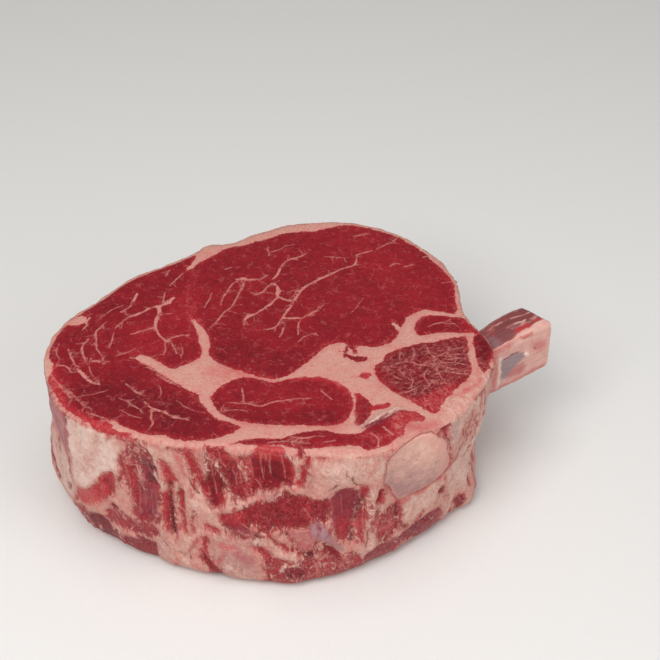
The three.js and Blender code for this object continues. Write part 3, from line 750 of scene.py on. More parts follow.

# %% [markdown]
# ## Marks on the wall
#
# The wall is where the roast was cut free of its neighbours, so it shows no clean cross section.
# Fat was pulled and scraped, muscles were left as torn fingers, and skins hang over both. Unrolled,
# the wall is a strip: the walk along the rim goes to the right and the height goes up.
# The front gets every mark listed one by one, because that is where the butcher worked through the ribs.
# The back was the outside of the animal and is smoother: a cover of fat with a few thin places.
#
# Between the marks nothing on a real wall is plain either. So a seeded rule lays wisps over it,
# short tapering strokes of meat, fat and skin that hang a little to one side, and smears the upper
# rim where the knife dragged meat over the fat. Only the satin patch at the left stays clean: it is
# painted last.

# %% Paint the wall
WALL_MARKS = [
    # The left end: silvery muscle under a pale skin, then satin white fat.
    blot([(6, 86), (8, 64), (16, 54), (28, 52), (36, 56), (39, 66), (39, 86)], film=0.70, blush=0.4,
         soft=2),
    stroke(1.6, [(14, 84), (17, 66), (22, 50)], film=1.1, blush=1.1, soft=1.5),
    stroke(2.2, [(26, 84), (29, 68), (33, 56)], film=1.0, blush=1.1, soft=1.5),
    stroke(1.5, [(36, 84), (37, 70), (37.5, 60)], film=1.0, blush=1.1, soft=1.5),
    blot([(41, 85), (62, 83), (68, 72), (66, 62), (58, 52), (48, 42), (40, 38), (40, 60)], blush=-1.3,
         soft=4),
    stroke(1.4, [(40.5, 84), (40.5, 70), (42, 58)], blush=-1.2, rise=0.6, soft=1),
    stroke(4, [(47, 76), (50, 66), (48, 56)], blush=-0.4, soft=6),
    stroke(2.2, [(18, 86.5), (40, 86), (60, 85.5), (78, 85)], "meat", most=0.8, tone=0.7, soft=2),
    stroke(2.4, [(43, 56), (45, 48)], blush=0.0, soft=4),
    blot([(6, 52), (20, 50), (34, 50), (40, 40), (38, 28), (28, 16), (12, 20)], blush=-0.8, film=0.12,
         soft=4),
    stroke(1.2, [(52, 84.5), (75, 83.5), (92, 83.5), (114, 84)], blush=0.6, soft=1.5),
    # The salmon arrow, and the pale finger beside it.
    blot([(63, 62), (65, 54), (65, 45), (61, 38.5), (57, 35), (50, 30), (43, 25), (37, 27), (39, 33),
         (48, 38.5), (54, 45), (58, 53)], "meat", tone=0.7, net=0.3),
    stroke(5, [(39, 29), (46, 33), (52, 36)], tone=1.15, soft=4),
    stroke(2.0, [(60, 50), (62.5, 46)], tone=0.35, soft=2),
    blot([(64, 63.5), (67, 62), (70, 57), (71, 50), (72, 42), (72.5, 34), (70, 31), (66, 32.5),
         (66, 40), (66.5, 46), (66, 54)], "fat", rise=0.5, blush=0.1),
    blot([(60, 36), (64.5, 36), (65.5, 31.5), (61, 30)], "meat", tone=-0.6),
    # The striped column under a purple skin, with a torn white edge.
    blot([(68, 69), (74, 80), (84, 79), (86, 70), (88, 58), (89, 45), (88.5, 33), (86, 28), (74, 29),
         (73, 42), (71, 52), (69, 60)], "meat", most=2.5, film=0.25, tone=0.25, net=0.6),
    blot([(74, 80), (84, 79), (85, 69), (77, 66), (72, 70)], "fat", most=-0.9, tone=0.2, net=1.2,
         soft=2),
    blot([(78.5, 69), (86, 68), (87, 56), (80, 54)], film=0.40, tone=-0.7, soft=2),
    blot([(75, 53), (87, 54), (88, 32), (75, 31)], film=0.60, tone=0.1, soft=3),
    stroke(2.0, [(71, 66), (73, 57), (75, 44)], tone=0.55, film=0.1, soft=2),
    stroke(0.9, [(77, 64), (78, 53)], "fat"),
    stroke(0.8, [(71, 72), (73, 66)], "fat"),
    stroke((0.9, 1.4), [(85, 80), (86.5, 73), (86, 68)], "fat", blush=-0.8, rise=0.6),
    stroke(1.1, [(86, 62), (88.5, 59), (90, 56)], "fat", blush=-1.2, rise=1.0),
    # Tucked under at the lower left: dull red and mauve with a pale crescent.
    blot([(30, 14), (42, 24), (46, 20), (44, 4), (36, -3), (26, 2)], "meat", most=0.8, film=0.35,
         tone=0.3, net=0.8, soft=3),
    blot([(56, 16), (84, 18), (86, 8), (84, -3), (52, -3), (52, 8)], "meat", most=1.6, tone=-0.1,
         film=0.30, net=0.7, soft=2),
    # Darker meat in the tuck: its own dull colour, deepened with painted shade where the wall turns under.
    blot([(42, 16), (46, 22), (57, 23), (60, 15), (56, 6), (48, 4)], "meat", tone=-0.5, film=0.35,
         net=0.4, soft=2.5),
    blot([(59, 31), (72, 29), (86, 28), (88, 21), (80, 18), (66, 20), (56, 22)], "meat", most=1.2,
         tone=0.4, film=0.35, net=0.6, soft=2),
    stroke(0.9, [(65, 31.5), (71, 29.5), (75, 26.5)], "fat", blush=0.3, rise=0.4),
    stroke((1.6, 2.2), [(64, 14), (68, 17), (73, 16)], "fat", blush=-0.1, rise=0.4),
    blot([(84, 26), (92, 24), (92, 8), (85, 4)], film=0.25, blush=-0.2, soft=4),
    # Three fingers of meat and the slit between them.
    stroke((2.0, 2.7), [(91, 71), (93, 64), (95, 58)], "meat", tone=0.75),
    blot([(88, 52), (94, 51), (94.5, 40), (93.5, 28), (91, 27), (88, 38)], "meat", tone=0.55, net=0.3),
    # Painted shade down the slit: the meat in it is darkened where the light doesn't reach.
    stroke((0.7, 1.6), [(94.2, 58), (93.6, 44), (95.2, 28)], "meat", tone=-0.8),
    stroke((1.2, 0.8), [(96.4, 58), (96.6, 46), (96.4, 36)], "fat", rise=0.6),
    stroke((1.7, 1.2), [(98.7, 54), (99, 44), (100.5, 34), (102, 30)], "meat", tone=0.6),
    stroke((2.2, 2.4), [(103.5, 79), (106, 70), (109, 62), (112, 56)], "meat", tone=0.35),
    stroke(1.5, [(103, 79), (105, 73)], tone=0.8, soft=2),
    stroke(1.2, [(98, 78), (100, 71), (101, 66)], blush=1.0, soft=1.5),
    blot([(101, 62), (106, 60), (111, 55), (114, 49), (116, 44), (112, 40), (103, 42), (101, 50)],
         "fat", blush=-0.1, rise=0.6, soft=3),
    # The dark slanted block, streaked above, with a white tendon across it.
    blot([(111, 84), (111, 77), (110, 68), (110, 61), (112.5, 54), (115, 49), (118, 48), (121, 54),
         (120, 60), (124, 57), (128, 55.5), (131.5, 54.5), (131.5, 64), (129, 71), (126.5, 78),
         (121, 84)], "meat", tone=-0.35, net=0.15),
    blot([(111, 86), (122, 85), (127, 78), (124, 72), (116, 70), (112, 78)], tone=0.15, net=0.6,
         soft=3),
    blot([(126, 80), (131, 81), (134, 70), (133.5, 60), (128, 56), (125, 64)], "meat", most=0.9,
         tone=0.1, net=0.5),
    stroke(2.2, [(121, 78.5), (125, 78)], tone=0.85, soft=2),
    stroke(1.2, [(108.5, 80), (110, 72), (110.5, 66)], "fat", blush=0.4),
    stroke(0.5, [(110.5, 82.5), (117, 71), (120.5, 63.5), (124.5, 56)], "fat", blush=-0.8, rise=0.7),
    stroke((1.1, 0.4), [(122.5, 85), (126.5, 78), (130, 70.5), (131, 66)], "fat", rise=0.4),
    blot([(127, 87), (134, 87), (132, 82)], "fat"),
    # The second block, scarlet above and maroon below.
    blot([(130.5, 79), (134.5, 82), (136, 87), (149, 87), (151.5, 79), (153.5, 70), (153, 62.5),
         (149.5, 63.5), (146, 61.5), (138, 60), (131.5, 56), (131.5, 66)], "meat", tone=0.15),
    blot([(135, 88), (149, 88), (148, 78), (136, 77)], tone=0.85, soft=2.5),
    stroke(2.2, [(132, 77), (134, 72)], tone=0.5, soft=2),
    blot([(136, 75), (149, 76), (151, 64), (146, 61), (138, 61), (134, 68)], tone=-0.35, soft=6),
    stroke(1.6, [(151.5, 78), (153.5, 70), (153.5, 63)], tone=0.6, soft=2),
    stroke((1.2, 1.6), [(137, 59.5), (140, 58.5), (143, 59)], "fat", film=0.6, blush=-0.8),
    stroke(1.7, [(149.5, 86), (152, 80), (155, 76)], "fat", blush=-0.7, rise=0.6),
    stroke(1.1, [(155.5, 76), (157.5, 80), (160, 85)], "fat", blush=0.5, rise=0.3),
    blot([(152.5, 88), (158.5, 88), (156, 79)], "meat", tone=-0.2),
    stroke((1.5, 1.9), [(159.5, 82), (157.5, 74), (155, 66)], "meat", tone=0.45),
    stroke(2.0, [(159.5, 72), (159, 64)], film=0.5, soft=2.5),
    # The jagged fringe of fat under both blocks.
    blot([(114, 46), (117, 48.5), (121, 52.5), (124, 56), (128, 55), (131, 53.5), (134, 55.5),
         (131, 51), (125, 48), (119, 45)], "fat", rise=0.5, blush=-0.3),
    stroke(1.2, [(134, 56), (139, 57.5), (144, 60), (148, 64), (151, 62), (154, 61)], "fat", rise=0.4,
           blush=0.2),
    # Mottled meat along the foot of the front.
    blot([(138, 20), (146, 22), (158, 20), (170, 18), (182, 20), (188, 10), (188, -3), (138, -3)],
         "meat", most=0.9, tone=0.3, net=0.6, film=0.2, soft=3),
    # The wide raspberry patch, lighter to the left and purple below.
    blot([(118, 46), (124, 49), (129.5, 51.5), (134.5, 55), (140, 56.5), (144.5, 58.5), (148.5, 62.5),
         (152, 60), (158, 59), (164, 56), (168, 58), (170, 52), (169, 44), (165, 42), (160, 39),
         (156, 42), (150, 41.5), (145, 42), (140, 38), (137, 33), (133, 32), (128, 31.5), (122, 33),
         (120, 38)], "meat", most=3.0, tone=-0.08, net=0.5),
    blot([(118, 47), (130, 51), (131, 43), (121, 40)], tone=0.7, soft=4),
    blot([(122, 39), (134, 41), (137, 33), (123, 32)], film=0.35, tone=0.1, soft=3),
    # Translucent skins under it, and streaks that run down to the right.
    blot([(113, 29), (120, 31), (126, 29), (134, 22), (136, 8), (122, 6), (114, 16)], "fat", film=0.50,
         blush=-0.2, soft=3),
    stroke(2.2, [(119, 26), (123, 26)], blush=1.2, film=0.1, soft=2.5),
    stroke(2.4, [(127, 22), (131, 19)], film=0.85, blush=0.8, soft=2.5),
    stroke(1.2, [(121, 14), (127, 9), (132, 4)], blush=-0.6, film=0.1, soft=2),
    stroke(1.0, [(122, 36), (127, 31), (132, 27)], "fat", film=0.4),
    stroke(0.9, [(129, 36), (134, 31), (139, 25)], "fat", film=0.4),
    stroke((1.5, 2.2), [(133, 29), (138, 25), (142, 19), (144, 8)], "meat", tone=0.4),
    stroke(1.2, [(140, 37), (144, 32), (148, 27)], "meat", tone=0.3),
    stroke((1.4, 0.8), [(145, 41), (150, 34), (156, 27)], "meat", most=1.0, tone=0.3, net=0.5),
    stroke((1.4, 0.8), [(150, 28), (158, 22), (166, 14)], "meat", most=1.0, tone=0.2, net=0.5),
    stroke((1.4, 0.9), [(160, 28), (168, 20), (174, 12)], "meat", most=1.0, tone=0.1, net=0.5),
    stroke(0.9, [(137, 37), (142, 31), (145, 25), (149, 22)], "fat", blush=-0.6, rise=0.5),
    stroke(1.3, [(133.5, 30.5), (135.5, 29)], "fat", blush=-1.2, rise=0.6),
    stroke(1.8, [(112.5, 36), (116.5, 34)], "meat", tone=0.7),
    stroke((1.6, 2.2), [(112, 28), (110.5, 22), (111, 17)], "meat", tone=0.6),
    stroke((2.4, 3.0), [(111, 16), (114, 11), (118, 4)], "meat", tone=-0.1, net=0.4),
    # A pink skin, and a lavender one drawn to a point, with red meat under both.
    stroke((2.0, 2.6), [(157, 33), (165, 27), (173, 17)], "meat", tone=-0.2),
    blot([(149, 41), (156, 41), (160, 37), (162, 30), (158, 27), (152, 28)], "fat", film=0.4, blush=0.7,
         rise=0.3, soft=2),
    blot([(158, 40), (162, 46), (166.5, 40), (172, 31), (176, 22), (173, 22), (166.5, 30), (160, 36)],
         "fat", film=1.3, rise=0.5, soft=1.2),
    stroke(1.2, [(173, 24), (176, 18), (180, 11)], "fat", blush=-0.3),
    blot([(155, 26), (161, 25.5), (161, 20), (156, 20)], "meat", tone=-0.5),
    stroke(1.0, [(144.5, 25), (147, 21), (151, 20), (155, 21)], "fat", rise=0.6, blush=-0.4),
    blot([(146, 16), (157, 16), (158, 8), (147, 7)], "meat", tone=-0.5, soft=2.5),
    stroke(0.8, [(145.5, 14), (147.5, 17), (153, 17.5)], "fat", rise=0.6, blush=-0.8),
    stroke(0.9, [(145, 35), (146.5, 33.5), (149, 35)], "fat", rise=0.5),
    blot([(146.5, 38.5), (149, 38), (148.3, 35.5)], "pit"),
    stroke(1.1, [(167, 61), (170, 63.5), (174, 67)], "fat", rise=0.8, film=0.3),
    # Cream fat between the fringe and the bone.
    blot([(162, 80), (184, 81), (202, 78), (198, 64), (180, 67), (170, 66)], blush=-0.45, soft=5),
    # Mauve muscle, and the tendon beside it.
    blot([(169.5, 58), (172, 61.5), (180, 63), (184, 60), (184, 50), (182.5, 42), (180.5, 33),
         (178.5, 25), (173, 28), (170, 38), (169, 48)], "meat", film=0.50, tone=0.15),
    blot([(168, 44), (180, 42), (180, 26), (172, 24)], tone=0.4, film=0.15, net=0.5, soft=3),
    blot([(184, 64), (188, 63), (188, 52), (184.5, 50)], "meat", tone=0.3),
    blot([(184, 50), (188, 50), (187.5, 24), (182, 24)], "meat", tone=0.5, film=0.15, net=0.6),
    stroke((1.6, 1.0), [(184.5, 52), (182.5, 42), (181, 33), (179.5, 26)], "meat", tone=-0.6),
    stroke(1.0, [(182, 37), (183, 33)], tone=0.9, soft=1.5),
    stroke((1.8, 2.6), [(190.5, 60), (190.5, 46), (190, 34)], "fat", rise=0.7, blush=-0.5),
    stroke((2.4, 1.8), [(190, 34), (191, 24), (192, 16)], "fat", rise=0.5, blush=-0.4),
    stroke(1.0, [(182, 28), (184, 22), (186, 15)], "fat"),
    # The torn hole and the mottled red block under the sawn bone.
    blot([(192.5, 50), (195, 57), (198, 57), (198.5, 49), (194.5, 46.5)], "meat", tone=0.7),
    blot([(192.6, 50), (194.5, 56.5), (196.5, 56), (195, 50), (194.5, 47)], "pit"),
    blot([(192.5, 39), (198, 40), (204, 43), (208, 38), (210, 28), (206, 19), (196, 17), (193, 24)],
         "meat", most=1.4, tone=0.15, net=1.0, soft=2),
    stroke(2.0, [(194, 28), (200, 27), (204, 27)], tone=1.1, film=0.15, soft=2),
    stroke(1.5, [(207, 26), (210, 22), (213, 20)], "meat", tone=-0.3),
    # The dusky strip along the foot at the right.
    blot([(186, 12), (194, 17), (206, 16), (214, 16), (222, 19), (232, 21), (239, 18), (241, -3),
         (186, -3)], "meat", most=1.2, tone=0.15, film=0.40, net=0.6, soft=3),
    stroke(3.0, [(219, 15), (224, 14)], film=0.5, tone=-0.6, soft=2.5),
    stroke(2.4, [(226, 18), (231, 16)], film=0.4, tone=-0.3, soft=2.5),
    blot([(249, 15), (256, 16), (258, 7), (251, 5)], "meat", most=1.2, film=0.3, tone=0.0, soft=2),
    stroke(3, [(208, 6), (218, 4)], "fat", blush=0.3, film=0.4, soft=3),
    # Round the bone: a pink arc under it, a red hole above it, and gristle beside it.
    blot([(208, 40), (222, 40), (234, 44), (238, 34), (228, 25), (212, 22)], blush=-0.5, soft=3),
    stroke(1.6, [(203, 42), (210, 40.5), (220, 41), (228, 43), (235, 48)], blush=1.1, soft=2),
    stroke(2.4, [(236.5, 31), (238, 30)], "meat", tone=0.0),
    blot([(225, 88), (233, 88), (231.5, 78), (228.5, 75)], "meat", tone=0.8),
    stroke((2.4, 1.6), [(234, 84), (236.5, 76), (239, 66)], "fat", film=0.6, blush=-1.0, rise=0.5),
    stroke(1.3, [(206, 84), (214, 80), (223, 84)], "meat", tone=0.6, net=0.6),
    # The right end: fat with thin threads of meat.
    blot([(236, 60), (242, 84), (266, 84), (272, 50), (266, 16), (248, 18), (240, 34)], blush=-0.55,
         soft=5),
    blot([(244, 76), (252, 78), (262, 62), (258, 52), (248, 54)], "meat", most=-0.6, tone=0.3, net=0.9,
         blush=-0.2, soft=3),
    stroke((0.9, 0.5), [(262, 84), (266, 76), (266, 62)], "meat", most=0.3, tone=0.4, net=0.7),
    stroke(2.6, [(266, 8), (276, 6), (290, 8)], "meat", tone=0.1, film=0.5),
    stroke((1.0, 2.0), [(286, 40), (296, 30), (308, 28)], "meat", most=0.8, net=0.6, tone=0.2,
           film=0.3),
    stroke(1.6, [(300, 70), (312, 60), (320, 46)], "meat", most=0.8, net=0.6, tone=0.2, film=0.35),
    # The back: mostly cover fat, thin where the meat shines through.
    blot([(338, 86), (352, 86), (366, 70), (362, 40), (350, 28), (340, 44)], "meat", most=0.7, net=0.7,
         film=0.45, tone=0.1, soft=4),
    stroke((3.0, 5.0), [(372, 78), (384, 60), (390, 34)], "meat", most=0.5, net=0.7, film=0.45,
           tone=0.3, soft=4),
    stroke(3.5, [(376, 24), (398, 14), (420, 18)], film=0.5, soft=5),
    blot([(408, 64), (424, 70), (436, 56), (430, 36), (414, 40)], film=0.6, blush=0.8, soft=5),
    stroke((2.0, 3.4), [(452, 58), (462, 42), (476, 30)], "meat", most=0.3, net=0.8, film=0.35,
           tone=0.4, soft=4),
    blot([(486, 80), (502, 84), (512, 72), (500, 62)], "meat", most=0.5, net=0.7, film=0.45, tone=0.2,
         soft=4),
    stroke(5, [(520, 50), (540, 34), (556, 28)], blush=0.9, film=0.2, soft=6),
    stroke((2.6, 1.4), [(548, 76), (560, 62), (566, 44)], "meat", most=0.3, net=0.8, film=0.3, tone=0.4,
           soft=3),
    blot([(584, 60), (600, 66), (612, 50), (604, 30), (588, 34)], "meat", most=0.5, net=0.7, film=0.5,
         tone=0.2, soft=5),
    stroke(3, [(576, 14), (600, 10), (626, 14)], "meat", most=0.3, net=0.8, film=0.4, tone=0.2, soft=4),
    stroke(2.2, [(618, 80), (624, 66), (622, 50)], "meat", most=0.8, net=0.7, film=0.4, tone=0.3),
    stroke(2.0, [(2, 40), (8, 28), (14, 22)], "meat", most=0.9, net=0.6, film=0.35, tone=0.3),
]
# The satin patch at the left lies over the wisps, with a pink smear down it.
SATIN_MARKS = [
    blot([(41, 84), (62, 82), (67, 72), (65, 62), (57, 52), (48, 43), (41, 40), (40.5, 60)], "fat",
         most=4.0, film=0.0, blush=-1.15, soft=5),
    stroke(2.0, [(58, 78), (54, 66), (49, 52)], blush=-0.25, soft=5),
    stroke(1.5, [(46, 80), (48, 70)], blush=-0.45, soft=4),
]
# Thin pale threads on the wall: fat and tendon that lie on or between the fibres of meat.
WALL_THREADS = [
    (0.7, [(11, 80), (13, 68), (18, 56)]),
    (0.9, [(22, 82), (26, 70), (32, 57)]),
    (0.6, [(33, 82), (35, 72), (36, 62)]),
    (0.5, [(78, 79), (81, 74)]),
    (0.5, [(74, 77), (76, 70)]),
    (0.4, [(79, 52), (80, 40)]),
    (0.4, [(83, 50), (84, 36)]),
    (0.4, [(82, 66), (84, 60)]),
    (0.4, [(114, 80), (119, 74), (122, 70)]),
    (0.4, [(114, 66), (117, 56)]),
    (0.4, [(132.5, 79), (133.5, 68)]),
    (0.35, [(137, 82), (138.5, 66)]),
    (0.4, [(141, 84), (142, 70)]),
    (0.4, [(147, 84), (148.5, 68)]),
    (0.35, [(113.5, 80), (114.5, 66)]),
    (0.35, [(117.5, 82), (119, 76)]),
    (0.35, [(124, 72), (126.5, 62)]),
    (0.35, [(127, 76), (128.5, 64)]),
    (0.4, [(71, 64), (72.5, 52)]),
    (0.4, [(76.5, 50), (77, 34)]),
    (0.35, [(86, 52), (86.5, 38)]),
    (0.4, [(135, 66), (139, 60)]),
    (0.35, [(139, 83), (140, 77)]),
    (0.5, [(129, 42), (134, 38)]),
    (0.4, [(156, 53), (159, 47)]),
    (0.5, [(165, 42), (170, 31)]),
    (0.5, [(150, 12), (154, 4)]),
    (0.5, [(164, 16), (170, 6)]),
    (0.5, [(174, 14), (178, 6)]),
    (0.5, [(183, 48), (181.6, 41)]),
    (0.4, [(175, 58), (175.5, 46)]),
    (0.4, [(186, 46), (186, 34)]),
    (0.5, [(196, 34), (203, 32)]),
    (0.45, [(198, 22), (203, 24)]),
    (0.45, [(60, 7), (68, 5), (76, 5)]),
    (0.5, [(109, 25), (112, 17), (116, 11)]),
    (0.7, [(342, 80), (346, 60), (344, 42)]),
    (0.6, [(352, 82), (357, 64), (356, 46)]),
    (0.6, [(378, 70), (386, 52)]),
    (0.6, [(488, 80), (498, 72)]),
    (0.7, [(590, 60), (598, 48), (600, 36)]),
    (0.5, [(604, 62), (607, 50)]),
]
THREAD_WANDER = 0.35
# Cracks, slits and creases, where the light doesn't reach.
WALL_CRACKS = [
    (0.55, [(85, 70), (86, 66), (87.5, 61)]),
    (0.5, [(94.2, 58), (93.4, 50), (93.8, 42), (94.8, 34), (95.6, 27)]),
    (0.4, [(63, 35), (64.5, 32)]),
    (0.8, [(104, 60), (106, 58), (109, 54)]),
    (0.4, [(102.5, 65), (104, 61)]),
    (0.4, [(112, 51), (115, 47)]),
    (0.4, [(89, 18), (91, 16)]),
    (0.35, [(98, 14.5), (101, 13)]),
    (0.35, [(103, 17), (104, 12)]),
    (0.8, [(169, 62), (171.5, 65.5), (173, 66)]),
    (0.5, [(177, 75), (176.5, 71)]),
    (0.9, [(179, 70), (181, 66), (182.5, 64)]),
    (0.55, [(188.5, 31), (188.3, 24), (188.6, 18)]),
    (0.5, [(197, 62), (199, 58)]),
    (0.9, [(205.5, 42), (205.3, 37), (205.5, 32)]),
    (0.6, [(228.5, 82), (231, 74), (234.5, 67), (237, 61)]),
    (0.4, [(222, 18), (228, 17)]),
    (0.35, [(240, 24), (246, 20)]),
    (0.35, [(264, 30), (270, 24)]),
    (0.35, [(402, 52), (408, 40)]),
    (0.35, [(470, 66), (478, 58)]),
    (0.35, [(532, 70), (540, 60)]),
]

# Wisps by rule: how many on the whole wall, half width, length and slant from upright in degrees.
WISPS = 240
WISP_HALF = (0.5, 1.3)
WISP_LENGTH = (4.0, 15.0)
WISP_SLANT = (-30, 14)
WISP_LOWEST = 6
# Smears of meat along the rim: how many, half width, length, slant from level and depth below it.
RIM_SMEARS = 46
SMEAR_HALF = (0.5, 1.1)
SMEAR_LENGTH = (3, 10)
SMEAR_SLANT = (-16, 10)
SMEAR_DROP = (0.5, 4.0)
WISP_KINDS = [
    {"tissue": "meat", "tone": 0.5}, {"tissue": "meat", "tone": 0.1, "film": 0.3},
    {"tissue": "fat", "blush": -0.7, "rise": 0.2}, {"tissue": "fat", "blush": 0.5},
    {"film": 0.5, "tone": 0.3, "blush": 0.9}, {"blush": 1.3},
]


def paint_wisp(fields, places, start, heading, length, half, effect):
    """One bent wisp, tapering to its end, painted only on the corners close to it."""
    middle = start + length / 2 * np.array([math.cos(heading), math.sin(heading)])
    heading += math.radians(chance.uniform(-20, 20))
    end = middle + length / 2 * np.array([math.cos(heading), math.sin(heading)])
    near = np.abs(places - middle).max(axis=1) < length
    depth = np.full(len(places), -FAR)
    depth[near] = band(places[near], (half, half * 0.3), [start, middle, end])
    paint(fields, np.flatnonzero(wall), depth, soft=0.8, **effect)


def paint_streaks(fields, places):
    """Wisps of meat, fat and skin all over the wall, and smears along its upper rim."""
    for number in range(WISPS):
        start = np.array([chance.uniform(0, walk_lengths[-1]), chance.uniform(WISP_LOWEST, THICKNESS)])
        heading = math.radians(-90 + chance.uniform(*WISP_SLANT))
        paint_wisp(fields, places, start, heading, chance.uniform(*WISP_LENGTH),
                   chance.uniform(*WISP_HALF), WISP_KINDS[number % len(WISP_KINDS)])
    for number in range(RIM_SMEARS):
        start = np.array([chance.uniform(0, walk_lengths[-1]), THICKNESS - chance.uniform(*SMEAR_DROP)])
        heading = math.radians(chance.uniform(*SMEAR_SLANT))
        paint_wisp(fields, places, start, heading, chance.uniform(*SMEAR_LENGTH),
                   chance.uniform(*SMEAR_HALF), WISP_KINDS[number % 2])


wall = ~(above | below)
wall_place = np.column_stack([walk_of(skin[wall, :2]), skin[wall, 2]])
shaken = ragged(skin[wall], 1.0, 0.8) - skin[wall, :2]
on_wall = wall_place + shaken
paint_marks(flesh, wall, on_wall, WALL_MARKS)
paint_streaks(flesh, on_wall)
paint_marks(flesh, wall, on_wall, SATIN_MARKS)
vein[wall], vein_near[wall] = vein_fields(wall_place + THREAD_WANDER * shaken, WALL_THREADS)
crack = np.tile([FAR, 0.0, 0.4], (len(skin), 1))
crack_near = np.full(len(skin), FAR)
crack[wall], crack_near[wall] = vein_fields(on_wall, WALL_CRACKS)
print(len(WALL_MARKS + SATIN_MARKS), "marks on the wall")
print(len(WALL_THREADS), "threads and", len(WALL_CRACKS), "cracks on it")

# %% [markdown]
# ## The skin round the bone
#
# Where the rib comes out at either end, the membrane that clung to it is pink in places and stands
# up a little as a lip. The distance from the frame's own bone tells which corners those are. The
# corners inside the tunnel are kept still, so the meat stays tight round the bone.

# %% Fields near the bone
LIP_REACH = 9.0
LIP_WIDTH = 1.5
bone_shell = bmesh.new()
bone_shell.from_mesh(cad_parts["rib_bone"].data)
bone_tree = BVHTree.FromBMesh(bone_shell)
bone_shell.free()
from_bone = np.array([bone_tree.find_nearest(Vector(place * MM))[3] for place in skin]) / MM
lip = np.flatnonzero(from_bone < LIP_REACH)
uneven_lip = 1.2 + 1.1 * grain_of_noise(skin[lip], 5.0, 61.0) - from_bone[lip]
paint(flesh, lip, LIP_WIDTH - from_bone[lip], tissue="fat")
paint(flesh, lip, uneven_lip, blush=0.7, film=0.1)
paint(flesh, lip, LIP_WIDTH + 1 - from_bone[lip], soft=1.5, rise=0.25)
print(len(lip), "corners near the bone")

# %% [markdown]
# ## Relief
#
# The colours alone would look printed on. On the cut face the knife leaves shallow waves, and fat
# and meat meet in fine grooves, because fat is stiffer and sits a little proud. On the wall the
# relief is coarser: fat bulges, muscle sinks between its skins, fibres stand as ridges and cracks
# go deep. Everything is one height for each corner, and each corner moves along its own normal.

# %% Push the corners in and out
GROOVE = 0.35
CRACK_DEPTH = 0.8
PIT_DEPTH = 2.6
BULGE = 0.9
THREAD_RISE = 0.35
WAVES = {14.0: 0.8, 5.0: 0.5, 2.4: 0.22}
FACE_WAVES = {22.0: 0.28, 6.0: 0.12}

lean = flesh["lean"]
seam = 1 - smoothstep(0.2, 1.2, np.abs(lean))
on_side = flesh["rise"] + BULGE * (0.5 - smoothstep(-1.5, 1.5, lean))
uneven = 0.3 + 0.7 * smoothstep(3, 16, skin[:, 2])
for size, amount in WAVES.items():
    on_side += amount * uneven * grain_of_noise(skin, size, 31.7)
on_side -= CRACK_DEPTH * (1 - smoothstep(0.3, 1.6, crack_near))
on_side += THREAD_RISE * (1 - smoothstep(0.4, 1.4, vein_near))
on_cut = -GROOVE * seam
for size, amount in FACE_WAVES.items():
    on_cut += amount * (grain_of_noise(skin, size, 17.3) - 1)
height = on_side * wall_share + on_cut * (1 - wall_share)
height -= PIT_DEPTH * smoothstep(-1.0, 1.0, flesh["pit"])
height *= smoothstep(0.2, 1.2, from_bone)

shape = corner_places(meat) + facing * height[:, None]
low, high = (np.array(corner) / MM for corner in cad_box)
shape = np.clip(shape, low, high)
move_corners(meat, shape)
print("relief from", round(float(height.min()), 1), "to", round(float(height.max()), 1), "mm")

# %% [markdown]
# ## Fields on the mesh
#
# Each field becomes an attribute of the mesh, which the material reads by name. Two more are
# needed for the fibres. On the wall, muscle fibres and fat run up and down, so fine streaks have to
# follow the wall: grain holds the walk (leant over a little with height) and the height, in
# millimetres, and noise that is read through it with a short width and a long height gives streaks.

# %% Write the attributes
LEAN_OVER = 0.18


def store(mesh, name, values):
    """An attribute on the corners: one number each, or three where a row has three."""
    values = np.ascontiguousarray(values, np.float32)
    if values.ndim == 1:
        mesh.attributes.new(name, "FLOAT", "POINT").data.foreach_set("value", values)
    else:
        mesh.attributes.new(name, "FLOAT_VECTOR", "POINT").data.foreach_set("vector", values.ravel())


walk = walk_of(skin[:, :2])
around = walk / walk_lengths[-1] * 2 * math.pi
WALK_RADIUS = walk_lengths[-1] / (2 * math.pi)
slant = around + (skin[:, 2] - THICKNESS / 2) * LEAN_OVER / WALK_RADIUS
grain = np.column_stack([np.cos(slant) * WALK_RADIUS, np.sin(slant) * WALK_RADIUS, skin[:, 2]])
for name in ("lean", "tone", "blush", "film", "pit", "net"):
    store(meat.data, name, flesh[name])
store(meat.data, "side", wall_share)
store(meat.data, "vein", vein)
store(meat.data, "vein_near", vein_near)
store(meat.data, "crack", crack)
store(meat.data, "crack_near", crack_near)
store(meat.data, "grain", grain)
print("attributes:", ", ".join(sorted(a.name for a in meat.data.attributes if not a.name.startswith("."))))

# %% [markdown]
# ## Writing materials as sums
#
# A shader node does one small sum, and a material of a hundred nodes is hard to read as a list of
# links. The class below wraps a socket, so that a + b or a * b adds the Math node and links it.
# The rest of the material then reads like the arithmetic that it is.

# %% Helpers for node materials
NOISE_ROUGHNESS = 0.55


class Value:
    """A socket of the node tree that can be used in a sum."""

    def __init__(self, tree, socket):
        self.tree = tree
        self.socket = socket

    def sum_with(self, operation, other, swap=False):
        node = self.tree.nodes.new("ShaderNodeMath")
        node.operation = operation
        first, second = (other, self) if swap else (self, other)
        for slot, part in zip(node.inputs, (first, second)):
            feed(self.tree, slot, part)
        return Value(self.tree, node.outputs[0])

    def __add__(self, other):
        return self.sum_with("ADD", other)

    def __sub__(self, other):
        return self.sum_with("SUBTRACT", other)

    def __rsub__(self, other):
        return self.sum_with("SUBTRACT", other, swap=True)

    def __mul__(self, other):
        return self.sum_with("MULTIPLY", other)

    def size(self):
        return self.sum_with("ABSOLUTE", 0.0)

    def at_least(self, other):
        return self.sum_with("MAXIMUM", other)

    def at_most(self, other):
        return self.sum_with("MINIMUM", other)

    __radd__ = __add__
    __rmul__ = __mul__


